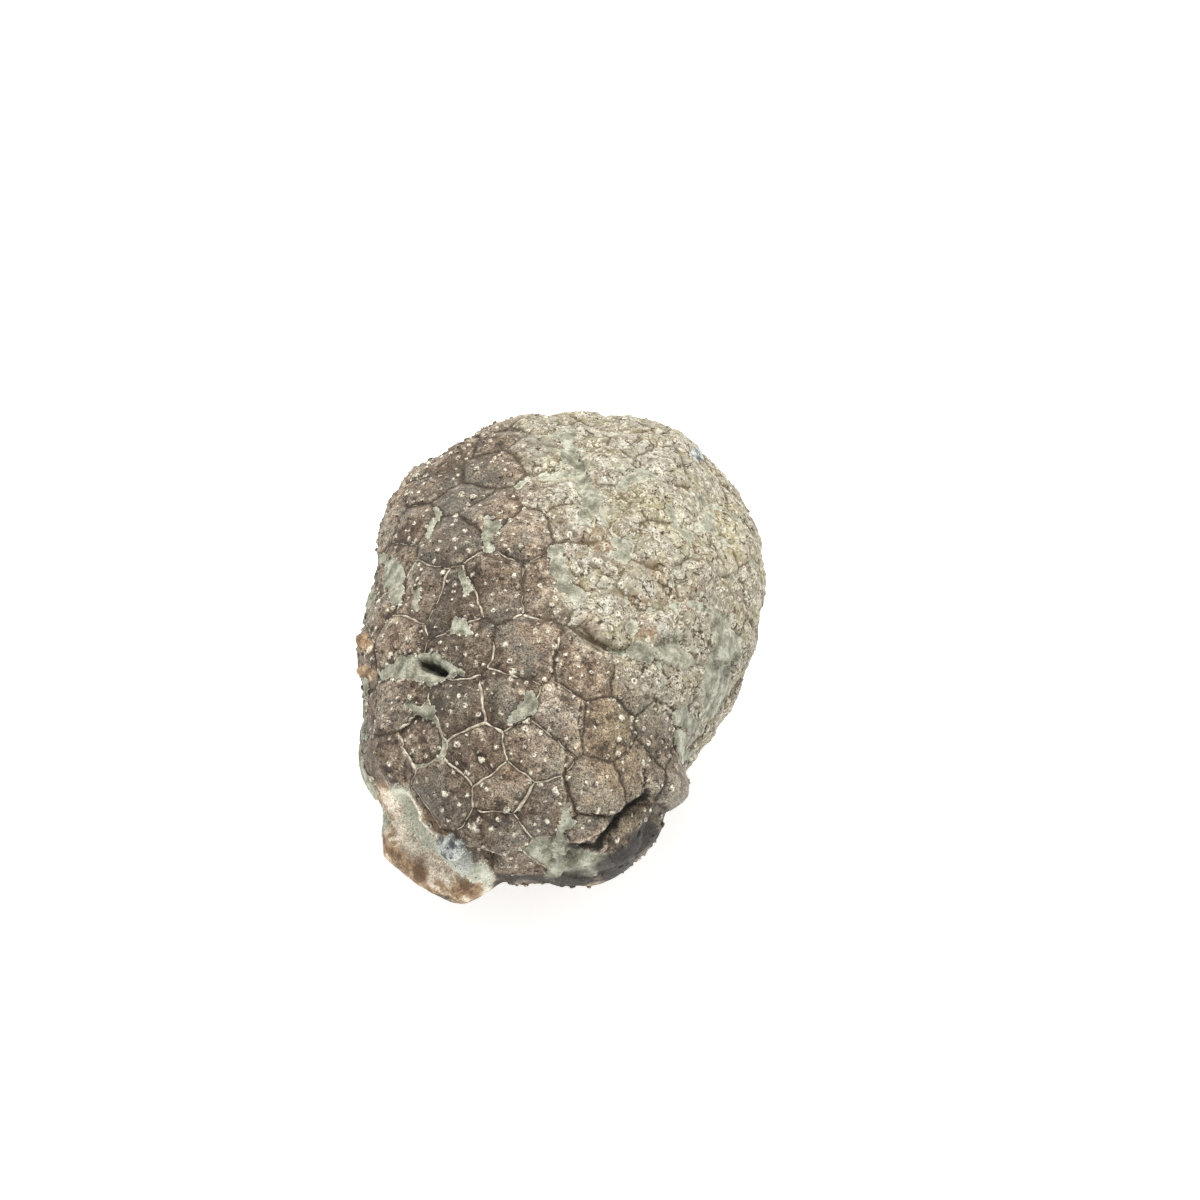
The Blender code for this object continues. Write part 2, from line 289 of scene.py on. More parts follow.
# Veins of pale mineral in the sutures
STRONG_VEINS = (
    ((-18.1, -15.4), (-12.4, -20.3), (-11.7, -24.3)),
    ((-9.7, -11.4), (-16.8, -13.5), (-20, -14.6)),
    ((-4.4, -20.6), (-6.2, -23.8), (-3.8, -27.3), (-6.5, -30)),
    ((-24.3, 13), (-16.8, 11.1)),
    ((-16.8, 10), (-19.2, 4.8)),
    ((-15.7, 9.8), (-13.7, 4.8)),
    ((-20, 3.7), (-14.4, 3.7)),
    ((-10.2, -2.9), (-4.9, -6.3)),
    ((-6.5, 6), (-1, 1.6)),
    ((-14.1, -3.5), (-9.7, -11.1)),
)
STRONG_VEIN_REACH = 2.0
VEIN_THICK = 0.25
VEIN_LEAST = 0.045
VEIN_RAGGED = (0.8, 0.9, 1.3)  # share of that thickness, give or take this noise of that size
VEINED_SHARE = 0.85  # of the sutures between fresh plates
VEIN_LIFT = 0.07
VEIN_STRONG_LIFT = 0.1
VEINED_RIGHT = (-3.0, 5.0)  # beyond these places to the right, and those above, veins are rare
VEINED_ABOVE = (13.0, 19.0)
VEIN_STEP = 0.35
VEIN_WOBBLE = 0.3
VEIN_WAVES = 900.0  # waves of that wobble in a metre
VEIN_SIDES = 6

# Pimples on fresh plates and worn rings on weathered ones: least distances and radii
PIMPLE_SPACING = 1.38
RING_SPACING = 1.0
SPACING_RANGE = (0.65, 1.35)
PIMPLE_RADII = (0.32, 0.7)
RING_RADII = (0.34, 0.58)
PIMPLE_HEIGHT = 0.36  # share of the radius
RING_HEIGHT = 0.22
RING_RIM = 0.62  # where the rim runs, its width and the pit's, as shares of the radius
RING_RIM_WIDTH = 0.3
RING_PIT = 0.34
KNOB_WOBBLE = 0.26  # how far noise moves their outlines, and the size of it
KNOB_WOBBLE_SIZE = 0.8
PIMPLE_TIP_SIZE = 0.95  # the pale tip's share of the pimple's radius
RING_RIM_SIZE = 0.85
CRUMB_SPACING = 0.7
CRUMB_RADII = (0.06, 0.2)
CRUMB_SEED = 2
CRUMB_DENSITY = 4e6  # at most, in a square metre
CRUMB_LEAN = 0.15  # radians


def bearing(azimuth, elevation):
    """The unit vector that many degrees round from the front and up from the floor."""
    turn, lift = math.radians(azimuth), math.radians(elevation)
    level = math.cos(lift)
    return np.array((math.sin(turn) * level, -math.cos(turn) * level, math.sin(lift)))


def face_axes():
    """Unit vectors to the right of the face, up along it and out of it."""
    azimuth = math.radians(FACE_AZIMUTH)
    right = np.array((math.cos(azimuth), math.sin(azimuth), 0.0))
    out = bearing(FACE_AZIMUTH, FACE_ELEVATION)
    return right, np.cross(out, right), out


RIGHT, UP, OUT = face_axes()
OVOID = 1 / np.array((HALF_WIDTH, HALF_LENGTH, HALF_HEIGHT)) ** 2
OUT_OVOID = OUT @ (OVOID * OUT)
THICKNESS = OUT_OVOID**-0.5


def smooth_step(x):
    x = np.clip(x, 0, 1)
    return x * x * (3 - 2 * x)


def rim_radius(angle):
    """The rim's radii joined by a smooth periodic curve."""
    terms = np.fft.rfft(RIM_RADII) / len(RIM_RADII)
    order = np.arange(len(terms))
    weight = np.where((order == 0) | (order == order[-1]), 1, 2)
    waves = terms * np.exp(1j * np.multiply.outer(angle, order))
    return (weight * waves.real).sum(-1)


def body_points(directions):
    """Points of the plain body for unit vectors given along the face's three axes."""
    angle = np.arctan2(directions[:, 1], directions[:, 0])
    radius = np.hypot(directions[:, 0], directions[:, 1]) * rim_radius(angle)
    across = np.outer(radius * np.cos(angle), RIGHT) + np.outer(radius * np.sin(angle), UP)
    middle = -(across * OVOID) @ OUT / OUT_OVOID
    return across + np.outer(middle + THICKNESS * directions[:, 2], OUT)


def on_face(places):
    """Points of the body's face for places given as right and above."""
    places = np.array(places, float)
    angle = np.arctan2(places[:, 1], places[:, 0])
    share = np.minimum(np.hypot(places[:, 0], places[:, 1]) / rim_radius(angle), 0.999)
    height = np.sqrt(1 - share**2)
    return body_points(np.stack((share * np.cos(angle), share * np.sin(angle), height), 1))


def noise_at(points, size, kind=noise.noise, *settings):
    """Noise at the points, in waves of about that size."""
    return np.array([kind(Vector(point), *settings) for point in points / size])


def noise_shift(points, size):
    return noise_at(points, size, noise.noise_vector)


def layered(points, layers):
    """Noise of several sizes, as (amount, size)."""
    return sum(amount * noise_at(points, size) for amount, size in layers)


def distance_to_line(points, line):
    nearest = np.full(len(points), np.inf)
    for start, end in zip(line[:-1], line[1:], strict=True):
        along = end - start
        share = np.clip((points - start) @ along / max(along @ along, 1e-9), 0, 1)
        gap = np.linalg.norm(points - start - share[:, None] * along, axis=1)
        nearest = np.minimum(nearest, gap)
    return nearest


def near(points, places, half_width):
    """1 on the line through those places of the face, falling to 0 at the half width."""
    return smooth_step(1 - distance_to_line(points, on_face(places)) / half_width)


def beside(view, places, half_width):
    """The same, but measured in the plane of the face, and only on its side."""
    gap = distance_to_line(view[:, :2], np.array(places, float))
    return smooth_step(1 - gap / half_width) * view[:, 2]


def shifted(view, points, waves):
    """The view with its places shifted by noise, given as (amount, size)."""
    moved = view.copy()
    for amount, size in waves:
        moved[:, :2] += amount * noise_shift(points, size)[:, :2]
    return moved


# ---------------- plates


def plate_centres():
    """The centres of all plates, and for each how far it is worn and whether it is lost."""
    centres = [*on_face(KEPT_PLATES), *on_face(WORN_PLATES), *on_face(LOST_PLATES)]
    worn = [0] * len(KEPT_PLATES) + [1] * len(WORN_PLATES) + [0] * len(LOST_PLATES)
    lost = [0] * (len(KEPT_PLATES) + len(WORN_PLATES)) + [1] * len(LOST_PLATES)
    rng = random.Random(SEED)
    for _ in range(PLATE_TRIES):
        direction = Vector([rng.gauss(0, 1) for _ in range(3)]).normalized()
        centre = body_points(np.array([direction]))[0]
        if min(np.linalg.norm(np.array(centres) - centre, axis=1)) >= PLATE_SPACING:
            centres.append(centre)
            worn.append(rng.random())
            lost.append(float(rng.random() < LOST_SHARE))
    return np.array(centres), np.array(worn), np.array(lost)


def plates_around(points, centres, count=4):
    """For each point the nearest plates and the squared distances to them, nearest first."""
    plates, squares = [], []
    for part in np.array_split(points, 32):
        squared = ((part[:, None, :] - centres[None]) ** 2).sum(-1)
        near_ones = np.argpartition(squared, count, axis=1)[:, :count]
        squared = np.take_along_axis(squared, near_ones, 1)
        rank = squared.argsort(1)
        plates.append(np.take_along_axis(near_ones, rank, 1))
        squares.append(np.take_along_axis(squared, rank, 1))
    return np.concatenate(plates), np.concatenate(squares)


def wandering(points):
    """The points shifted a little, so that planes between plates become wavy sutures."""
    coarse = EDGE_WANDER * noise_shift(points, EDGE_WANDER_SIZE)
    return points + coarse + FINE_WANDER * noise_shift(points, FINE_WANDER_SIZE)


def suture_gaps(points, centres):
    """Each point's own plate, the plate across the nearest suture, and the way to it."""
    plates, squared = plates_around(points, centres)
    own = plates[:, 0]
    apart = np.linalg.norm(centres[own][:, None] - centres[plates[:, 1:]], axis=2)
    gaps = (squared[:, 1:] - squared[:, :1]) / (2 * apart)
    closest = gaps.argmin(1)
    rows = np.arange(len(points))
    return own, plates[rows, closest + 1], gaps[rows, closest]


def onto_sutures(points, centres):
    """Moves the points that almost lie on a suture onto it, so that its line is crisp."""
    own, other, gap = suture_gaps(wandering(points), centres)
    way = centres[other] - centres[own]
    way *= (gap / np.linalg.norm(way, axis=1))[:, None]
    return points + np.where((gap < SNAP)[:, None], way, 0)


def from_border(points):
    """How far the points lie to the right of the border of the weathered region."""
    border = np.interp(points @ UP, WEATHER_BORDER_ABOVE, WEATHER_BORDER_RIGHT)
    return points @ RIGHT - border


def weathering(points):
    """0 on the fresh left of the face, 1 on its weathered upper right."""
    ragged = layered(points, WEATHER_RAGGED)
    return smooth_step((from_border(points) + ragged) / WEATHER_BLEND + 0.5)


def form_relief(points):
    height = np.zeros(len(points))
    for amount, half_width, places in FORMS:
        height += amount * near(points, places, half_width)
    return height


def plate_fields(points, centres, worn, lost):
    """The plated surface's height, and the fields that its finish follows."""
    own, _, gap = suture_gaps(wandering(points), centres)
    rng = random.Random(SEED + 1)
    step = np.array([rng.uniform(-PLATE_STEP, PLATE_STEP) for _ in centres])
    tilt = np.array([[rng.gauss(0, PLATE_TILT) for _ in range(3)] for _ in centres])
    tint = np.array([rng.uniform(-1, 1) for _ in centres])
    weather = np.clip(0.85 * weathering(points) + 0.25 * worn[own] - 0.08, 0, 1)
    dome = DOME * (1 - 0.5 * weather) * (1 - np.exp(-((gap / DOME_REACH) ** 2)))
    level = step[own] + ((points - centres[own]) * tilt[own]).sum(1)
    level *= 1 - np.exp(-gap / SUTURE_WIDTH)
    groove = SUTURE_DEPTH * (1 - 0.55 * weather)
    groove *= np.exp(-gap / (SUTURE_WIDTH * (1 - 0.45 * weather)))
    groove = SUTURE_FLOOR * (1 - np.exp(-groove / SUTURE_FLOOR))
    groove += CLEFT_DEPTH * np.exp(-gap / CLEFT_WIDTH)
    grain = layered(points, GRAIN)
    layers = FLAKE_LAYERS * noise_at(points, FLAKE_SIZE, noise.fractal, 1.0, 2.0, 4)
    flakes = FLAKE_STEP * (np.floor(layers) + smooth_step((layers % 1 - 0.8) / 0.2))
    flakes += RUGGED_HEIGHT * (0.5 - 2 * np.abs(noise_at(points, RUGGED_SIZE)))
    flakes += WORN_DOME * (1 - np.exp(-((gap / WORN_DOME_REACH) ** 2)) - 0.5)
    plate = dome + level - groove + grain + weather * (flakes - WORN_DEPTH)
    plate = np.where(lost[own] > 0, -LOST_DEPTH, plate)
    bare = np.zeros(len(points))
    for half_width, places in BARE_STRIPS:
        inside = half_width - distance_to_line(points, on_face(places))
        bare = np.maximum(bare, smooth_step(inside / BARE_EDGE))
    plate += bare * (BARE_LEVEL + 1.4 * grain - plate)
    lit = np.interp(points @ RIGHT, LIGHT_ACROSS, LIGHTNESS) + 0.35 * tint[own]
    lighter, start, over = LIGHTER_ABOVE
    lit += lighter * smooth_step((points @ UP - start) / over)
    fields = {"suture": gap, "weather": weather, "tint": tint[own], "lit": lit, "bare": bare}
    return plate, fields


def mud_relief(points, view, plate, fields):
    """The height of the dried mud, and how much of the surface it covers."""
    spread, spread_size = MUD_SPREAD
    level = MUD_LEVEL + spread * noise_at(points, spread_size)
    higher, uneven, uneven_size = MUD_WHERE_WORN
    level += (higher + uneven * noise_at(points, uneven_size)) * fields["weather"]
    free_width, free_places = MUD_FREE
    level -= 2 * smooth_step(2 * beside(view, free_places, free_width))
    lumps = layered(points, MUD_LUMPS)
    top = level + lumps
    around = shifted(view, points, MUD_OUTLINE)
    rough, rough_size = MUD_RAGGED
    ragged = 1 + rough * noise_at(points, rough_size)
    patch = np.zeros(len(points))
    for height, half_width, places in MUD_PATCHES:
        here = smooth_step(4.0 * ragged * beside(around, places, 0.87 * half_width))
        plate = plate - MUD_DUG * here
        top = np.maximum(top, level + lumps + (height - level) * smooth_step(3 * here))
        patch = np.maximum(patch, here)
    fields["mud"] = smooth_step((top - plate) / MUD_EDGE + 0.5)
    fields["patch"] = patch
    return np.maximum(top, plate)


def skin_relief(points, view, centres, worn, lost):
    """Height of the skin over the solid's forms without pimples, with the fields of its finish."""
    plate, fields = plate_fields(points, centres, worn, lost)
    height = mud_relief(points, view, plate, fields)
    around = shifted(view, points, FORM_OUTLINE)
    for amount, half_width, places in FINE_FORMS:
        height += amount * beside(around, places, half_width)
    # Real stains, and the dark field, which is painted shade, each with a ragged outline
    around = shifted(view, points, STAIN_AND_SHADE_OUTLINE)
    kinds = {
        "slate": SLATE, "calcite": CALCITE, "rust": RUST, "ochre": OCHRE,
        "smooth": SMOOTH, "dark": PAINTED_SHADE, "cream": CREAM,
    }
    for kind, where in kinds.items():
        stains_and_shade = [beside(around, places, half_width) for half_width, places in where]
        fields[kind] = np.maximum.reduce(stains_and_shade)
    fields["calcite"] *= 1 - fields["slate"]
    covers = ("patch", "slate", "calcite", "dark", "smooth", "bare")
    fields["covered"] = smooth_step(2 * np.maximum.reduce([fields[kind] for kind in covers]))
    away = smooth_step((fields["suture"] - 0.2) / 0.5) * (1 - smooth_step(3 * fields["mud"]))
    away *= 1 - smooth_step(3 * np.maximum(fields["calcite"], fields["slate"]))
    away *= (1 - fields["bare"]) * (1 - 0.7 * fields["smooth"]) * (1 - 0.9 * fields["dark"])
    sparse = 0.7 + 0.3 * smooth_step(0.5 + 1.6 * noise_at(points, 4.0))
    fields["knobs"] = away * (sparse + (1 - sparse) * fields["weather"])
    fields["crumbs"] = 0.5 * smooth_step(3 * fields["mud"] - 1) * (1 - 0.7 * fields["patch"])
    return height, fields


# ---------------- pimples


def tree_of(points):
    net = KDTree(len(points))
    for index, point in enumerate(points):
        net.insert(point, index)
    net.balance()
    return net


class Knobs:
    """Pimples of the fresh plates and worn rings of the weathered ones."""

    def __init__(self, points, fields):
        """Chooses points that lie apart from each other, but not evenly."""
        rng = random.Random(SEED + 3)
        net = tree_of(points)
        chance, weather = fields["knobs"], fields["weather"]
        spacing = PIMPLE_SPACING + (RING_SPACING - PIMPLE_SPACING) * weather
        free = chance > 0.05
        order = np.nonzero(free)[0].tolist()
        rng.shuffle(order)
        chosen = []
        for index in order:
            if not free[index]:
                continue
            reach = spacing[index] * rng.uniform(*SPACING_RANGE)
            free[[other for _, other, _ in net.find_range(points[index], reach)]] = False
            if rng.random() < chance[index]:
                chosen.append(index)
        self.vertices = np.array(chosen)
        self.places = points[chosen]
        self.worn = np.array([rng.random() < 2 * weather[k] - 0.5 for k in chosen])
        share = np.array([rng.random() for _ in chosen])
        pimple = PIMPLE_RADII[0] + (PIMPLE_RADII[1] - PIMPLE_RADII[0]) * share**1.6
        ring = RING_RADII[0] + (RING_RADII[1] - RING_RADII[0]) * share
        self.radii = np.where(self.worn, ring, pimple)
        self.pale = np.array([rng.uniform(0.25, 1.0) ** 1.2 for _ in chosen])

    def relief(self, points):
        """Their height, how pale they make each point, and the dark pits of the rings."""
        net = tree_of(self.places)
        moved = points + KNOB_WOBBLE * noise_shift(points, KNOB_WOBBLE_SIZE)
        found = [net.find(point) for point in moved]
        own = np.array([index for _, index, _ in found])
        gap = np.array([distance for _, _, distance in found]) / self.radii[own]
        rim = np.exp(-(((gap - RING_RIM) / RING_RIM_WIDTH) ** 2))
        pit = np.exp(-((gap / RING_PIT) ** 2))
        pimple = PIMPLE_HEIGHT * np.exp(-1.6 * gap**2)
        height = self.radii[own] * np.where(self.worn[own], RING_HEIGHT * (rim - 0.6 * pit), pimple)
        tip = self.pale[own] * np.where(self.worn[own], rim, np.exp(-2.6 * gap**2))
        return height, tip, np.where(self.worn[own], pit, 0)


# ---------------- meshes


def link(piece):
    bpy.context.scene.collection.objects.link(piece)
    return piece


def mesh_of(name, shape):
    """A mesh made from a bmesh, which is freed."""
    mesh = bpy.data.meshes.new(name)
    shape.to_mesh(mesh)
    shape.free()
    return mesh


def ball(subdivisions):
    shape = bmesh.new()
    bmesh.ops.create_icosphere(shape, subdivisions=subdivisions, radius=1.0)
    return shape


def read(rows, what, width=1, kind=np.float32):
    """One property of all vertices, edges or faces, a row for each."""
    values = np.empty(len(rows) * width, kind)
    rows.foreach_get(what, values)
    return values.reshape(-1, width)


def positions(mesh):
    return read(mesh.vertices, "co", 3).astype(float)


def set_positions(mesh, points):
    mesh.vertices.foreach_set("co", points.astype(np.float32).ravel())
    mesh.update()


def set_field(mesh, name, values, kind="FLOAT"):
    field = mesh.attributes.get(name) or mesh.attributes.new(name, kind, "POINT")
    what = "vector" if kind == "FLOAT_VECTOR" else "value"
    number = np.int32 if kind == "INT" else np.float32
    field.data.foreach_set(what, np.asarray(values).astype(number).ravel())


def field_of(mesh, name):
    return read(mesh.attributes[name].data, "value")[:, 0]


def vertex_normals(mesh):
    return read(mesh.vertex_normals, "vector", 3).astype(float)


def blurred(values, edges, rounds):
    """The values averaged with their neighbours, that many times."""
    count = np.bincount(edges.ravel(), minlength=len(values))
    for _ in range(rounds):
        total = np.bincount(edges[:, 0], values[edges[:, 1]], len(values))
        total += np.bincount(edges[:, 1], values[edges[:, 0]], len(values))
        values = 0.5 * values + 0.5 * total / count
    return values


def crowded(directions):
    """The ball's vectors drawn towards the face, which keeps the triangles' shapes."""
    directions = directions / np.linalg.norm(directions, axis=1)[:, None]
    ahead, across = directions[:, 2], np.linalg.norm(directions[:, :2], axis=1)
    behind = FACE_SHARE**2 * (1 - ahead) / np.maximum(1 + ahead, 1e-9)
    ahead = (1 - behind) / (1 + behind)
    wider = np.sqrt(np.maximum(1 - ahead**2, 0)) / np.maximum(across, 1e-9)
    return np.column_stack((directions[:, :2] * wider[:, None], ahead))


def make_skin(centres, worn, lost):
    """The dense skin in its place, in metres, with the fields of its finish."""
    mesh = mesh_of("skin", ball(SPHERE_SUBDIVISIONS))
    directions = crowded(positions(mesh))
    points = body_points(directions)
    set_positions(mesh, points)
    normals = vertex_normals(mesh)
    above = points[:, 2] - points[:, 2].min() - PLAIN_BELOW
    fade = smooth_step(above / (FULL_RELIEF_ABOVE - PLAIN_BELOW))
    points = onto_sutures(points, centres)
    forms = layered(points, LUMPS) + form_relief(points) * fade
    seen = points + normals * forms[:, None]
    front = smooth_step((normals @ OUT + 0.1 + 0.3 * noise_at(points, 5.0)) / 0.3)
    view = np.stack((seen @ RIGHT, seen @ UP, front), 1)
    relief, fields = skin_relief(points, view, centres, worn, lost)
    fields["knobs"] *= fade
    fields["crumbs"] *= fade
    fields["fade"] = np.ones(len(points))
    knobs = Knobs(points, fields)
    bumps, fields["tip"], fields["pit"] = knobs.relief(points)
    clear = 1 - fields["mud"]
    relief += bumps * clear
    fields["tip"] *= clear
    height = forms + relief * (0.12 + 0.88 * fade)
    edges = read(mesh.edges, "vertices", 2, np.int32)
    for name, (rounds, full) in DEPTHS.items():
        fields[name] = np.clip((blurred(height, edges, rounds) - height) / full, -1, 1)
    place = points + normals * height[:, None] + np.array(MIDDLE)
    place[:, 2] = np.maximum(place[:, 2], 0)
    set_positions(mesh, place * METRES)
    for name, values in fields.items():
        set_field(mesh, name, values)
    return mesh, points, knobs, normals


def applied(piece, modifier):
    """Gives the piece the mesh that its modifier makes, and removes the modifier."""
    graph = bpy.context.evaluated_depsgraph_get()
    piece.data = bpy.data.meshes.new_from_object(piece.evaluated_get(graph), depsgraph=graph)
    piece.modifiers.remove(modifier)
    piece.data.shade_smooth()


def thin_out(piece, triangles):
    """Merges faces where the skin is even, which keeps its creases."""
    modifier = piece.modifiers.new("thin_out", "DECIMATE")
    modifier.ratio = triangles / len(piece.data.polygons)
    applied(piece, modifier)


# ---------------- mineral veins in the sutures


def suture_lines(mesh, points, centres):
    """The skin's sutures as a mesh of edges: where each face is crossed by a suture."""
    moved = wandering(points)
    own, _, _ = suture_gaps(moved, centres)
    faces = read(mesh.polygons, "vertices", 3, np.int32)
    plates = own[faces]
    crossed = faces[(plates != plates[:, [1, 2, 0]]).sum(1) == 2]
    place = positions(mesh)
    found, index, segments = [], {}, []
    for face in crossed:
        ends = []
        for a, b in ((face[0], face[1]), (face[1], face[2]), (face[2], face[0])):
            if own[a] == own[b]:
                continue
            key = (min(a, b), max(a, b))
            if key not in index:
                index[key] = len(found)
                found.append(key)
            ends.append(index[key])
        segments.append(ends)
    pairs = np.array(found)
    first, second = pairs.T
    one, two = centres[own[first]], centres[own[second]]
    at_first, at_second = (
        ((moved[end] - two) ** 2).sum(1) - ((moved[end] - one) ** 2).sum(1) for end in pairs.T
    )
    share = np.clip(at_first / np.maximum(at_first - at_second, 1e-6), 0, 1)[:, None]
    where = place[first] * (1 - share) + place[second] * share
    skin_at = points[first] * (1 - share) + points[second] * share
    cover = field_of(mesh, "covered")
    clear = 1 - np.maximum(cover[first], cover[second])
    return where, skin_at, clear, segments, own[first], own[second]


def make_veins(skin, points, centres, tree):
    """Raised veins of pale mineral that fill the sutures, thicker along some of them."""
    mesh = skin.data
    where, skin_at, clear, segments, one, two = suture_lines(mesh, points, centres)
    rng = random.Random(SEED + 2)
    chance = {pair: rng.random() for pair in sorted({tuple(sorted(p)) for p in zip(one, two)})}
    share = np.array([chance[tuple(sorted(pair))] for pair in zip(one, two)])
    share = np.maximum(share - 1 + VEINED_SHARE, 0) / VEINED_SHARE
    strong = np.zeros(len(where))
    for line in STRONG_VEINS:
        strong = np.maximum(strong, near(skin_at, line, STRONG_VEIN_REACH))
    fresh = smooth_step(1.2 - 1.6 * weathering(skin_at))
    for axis, (start, end) in ((RIGHT, VEINED_RIGHT), (UP, VEINED_ABOVE)):
        fresh *= 1 - 0.75 * smooth_step((skin_at @ axis - start) / (end - start))
    share = np.maximum(0.85 * np.sqrt(share) * fresh, smooth_step(2.5 * strong))
    thinner, rough, rough_size = VEIN_RAGGED
    ragged = thinner + rough * noise_at(skin_at, rough_size)
    off_floor = smooth_step(where[:, 2] / METRES - 0.6)
    breadth = VEIN_THICK * share * ragged * off_floor * clear
    kept = [pair for pair in segments if min(breadth[pair[0]], breadth[pair[1]]) > VEIN_LEAST]
    lines = bpy.data.meshes.new("veins")
    centre = np.array(MIDDLE) * METRES
    out = (where - centre) / np.linalg.norm(where - centre, axis=1)[:, None]
    lifted = where + out * ((VEIN_LIFT + VEIN_STRONG_LIFT * smooth_step(strong)) * METRES)[:, None]
    lines.from_pydata(lifted.tolist(), kept, [])
    set_field(lines, "breadth", breadth * METRES)
    return grown("veins", lines, tree, Step=VEIN_STEP * METRES, Wobble=VEIN_WOBBLE * METRES)


# ---------------- node trees


class Nodes:
    """Short names for adding nodes to a node tree."""

    def __init__(self, tree):
        self.tree = tree

    def add(self, kind, links=(), **settings):
        """A node with its settings, and its inputs joined to outputs or set to values."""
        node = self.tree.nodes.new(kind)
        for key, value in settings.items():
            setattr(node, key, value)
        for socket, source in dict(links).items():
            target = node.inputs[socket]
            if isinstance(source, Value):
                source = source.socket
            if isinstance(source, bpy.types.NodeSocket):
                self.tree.links.new(source, target)
            else:
                target.default_value = source
        return node

    def made(self, kind, output, links=(), **settings):
        """That output of a new node."""
        return self.add(kind, links, **settings).outputs[output]


class Growth(Nodes):
    """A geometry node tree with named inputs, which ends in plain faces and a material."""

    def __init__(self, name, **inputs):
        super().__init__(bpy.data.node_groups.new(name, "GeometryNodeTree"))
        face = self.tree.interface
        face.new_socket("Geometry", in_out="INPUT", socket_type="NodeSocketGeometry")
        for label, kind in inputs.items():
            face.new_socket(label, in_out="INPUT", socket_type="NodeSocket" + kind)
        face.new_socket("Geometry", in_out="OUTPUT", socket_type="NodeSocketGeometry")
        self.given = self.add("NodeGroupInput").outputs

    def field(self, name, kind="FLOAT"):
        return self.made("GeometryNodeInputNamedAttribute", 0, {"Name": name}, data_type=kind)

    def random(self, output, low, high, kind, first=0):
        """A random value for each copy; the node has its own inputs for each kind."""
        links = {first: low, first + 1: high}
        return self.made("FunctionNodeRandomValue", output, links, data_type=kind)

    def copies(self, kinds, turn, **links):
        """Puts one of the kinds on each point, and then turns it."""
        join = self.add("GeometryNodeJoinGeometry")
        for kind in kinds:
            given = {"Object": kind, "As Instance": True}
            shape = self.made("GeometryNodeObjectInfo", "Geometry", given)
            self.tree.links.new(shape, join.inputs["Geometry"])
        given = {"Instance": join.outputs["Geometry"], "Pick Instance": True}
        given |= {label.replace("_", " "): source for label, source in links.items()}
        placed = self.made("GeometryNodeInstanceOnPoints", "Instances", given)
        given = {"Instances": placed, "Rotation": turn}
        return self.made("GeometryNodeRotateInstances", "Instances", given)

    def finish(self, geometry, material):
        real = self.made("GeometryNodeRealizeInstances", "Geometry", {"Geometry": geometry})
        links = {"Geometry": real, "Material": material}
        painted = self.made("GeometryNodeSetMaterial", "Geometry", links)
        self.add("NodeGroupOutput", {"Geometry": painted})
        return self.tree


def grown(name, mesh, tree, **sizes):
    """A plain mesh object of that name, made by the tree from a mesh."""
    piece = link(bpy.data.objects.new(name, mesh))
    modifier = piece.modifiers.new("grow", "NODES")
    modifier.node_group = tree
    for label, value in sizes.items():
        modifier[tree.interface.items_tree[label].identifier] = value
    applied(piece, modifier)
    made = piece.data
    material = made.materials[-1]
    made.materials.clear()
    made.materials.append(material)
    made.polygons.foreach_set("material_index", np.zeros(len(made.polygons), np.int32))
    return piece


def scatter_tree(name, field, kinds, material):
    """Scatters copies of small meshes over a surface where the named field allows it."""
    tree = Growth(name, Spacing="Float", Smallest="Float", Largest="Float", Seed="Int")
    links = {
        "Mesh": tree.given["Geometry"],
        "Distance Min": tree.given["Spacing"],
        "Density Max": CRUMB_DENSITY,
        "Density Factor": tree.field(field),
        "Seed": tree.given["Seed"],
    }
    scatter = "GeometryNodeDistributePointsOnFaces"
    dots = tree.add(scatter, links, distribute_method="POISSON").outputs
    size = tree.random(1, tree.given["Smallest"], tree.given["Largest"], "FLOAT", first=2)
    pick = tree.random(2, 0, len(kinds) - 1, "INT", first=4)
    lean = CRUMB_LEAN
    turn = tree.random(0, (-lean, -lean, 0), (lean, lean, 2 * math.pi), "FLOAT_VECTOR")
    at, upright = dots["Points"], dots["Rotation"]
    copies = tree.copies(kinds, turn, Points=at, Instance_Index=pick, Rotation=upright, Scale=size)
    return tree.finish(copies, material)


def planting_tree(name, kinds, material):
    """Puts a small mesh on each point: its kind, size, turn and facing are fields there."""
    tree = Growth(name, Size="Float")
    points = tree.made("GeometryNodeMeshToPoints", "Points", {"Mesh": tree.given["Geometry"]})
    facing = {"Vector": tree.field("facing", "FLOAT_VECTOR")}
    upright = tree.made("FunctionNodeAlignRotationToVector", "Rotation", facing, axis="Z")
    sizes = {0: tree.field("size"), 1: tree.given["Size"]}
    size = tree.made("ShaderNodeMath", 0, sizes, operation="MULTIPLY")
    turn, pick = tree.field("turn", "FLOAT_VECTOR"), tree.field("kind", "INT")
    copies = tree.copies(
        kinds, turn, Points=points, Instance_Index=pick, Rotation=upright, Scale=size
    )
    return tree.finish(copies, material)


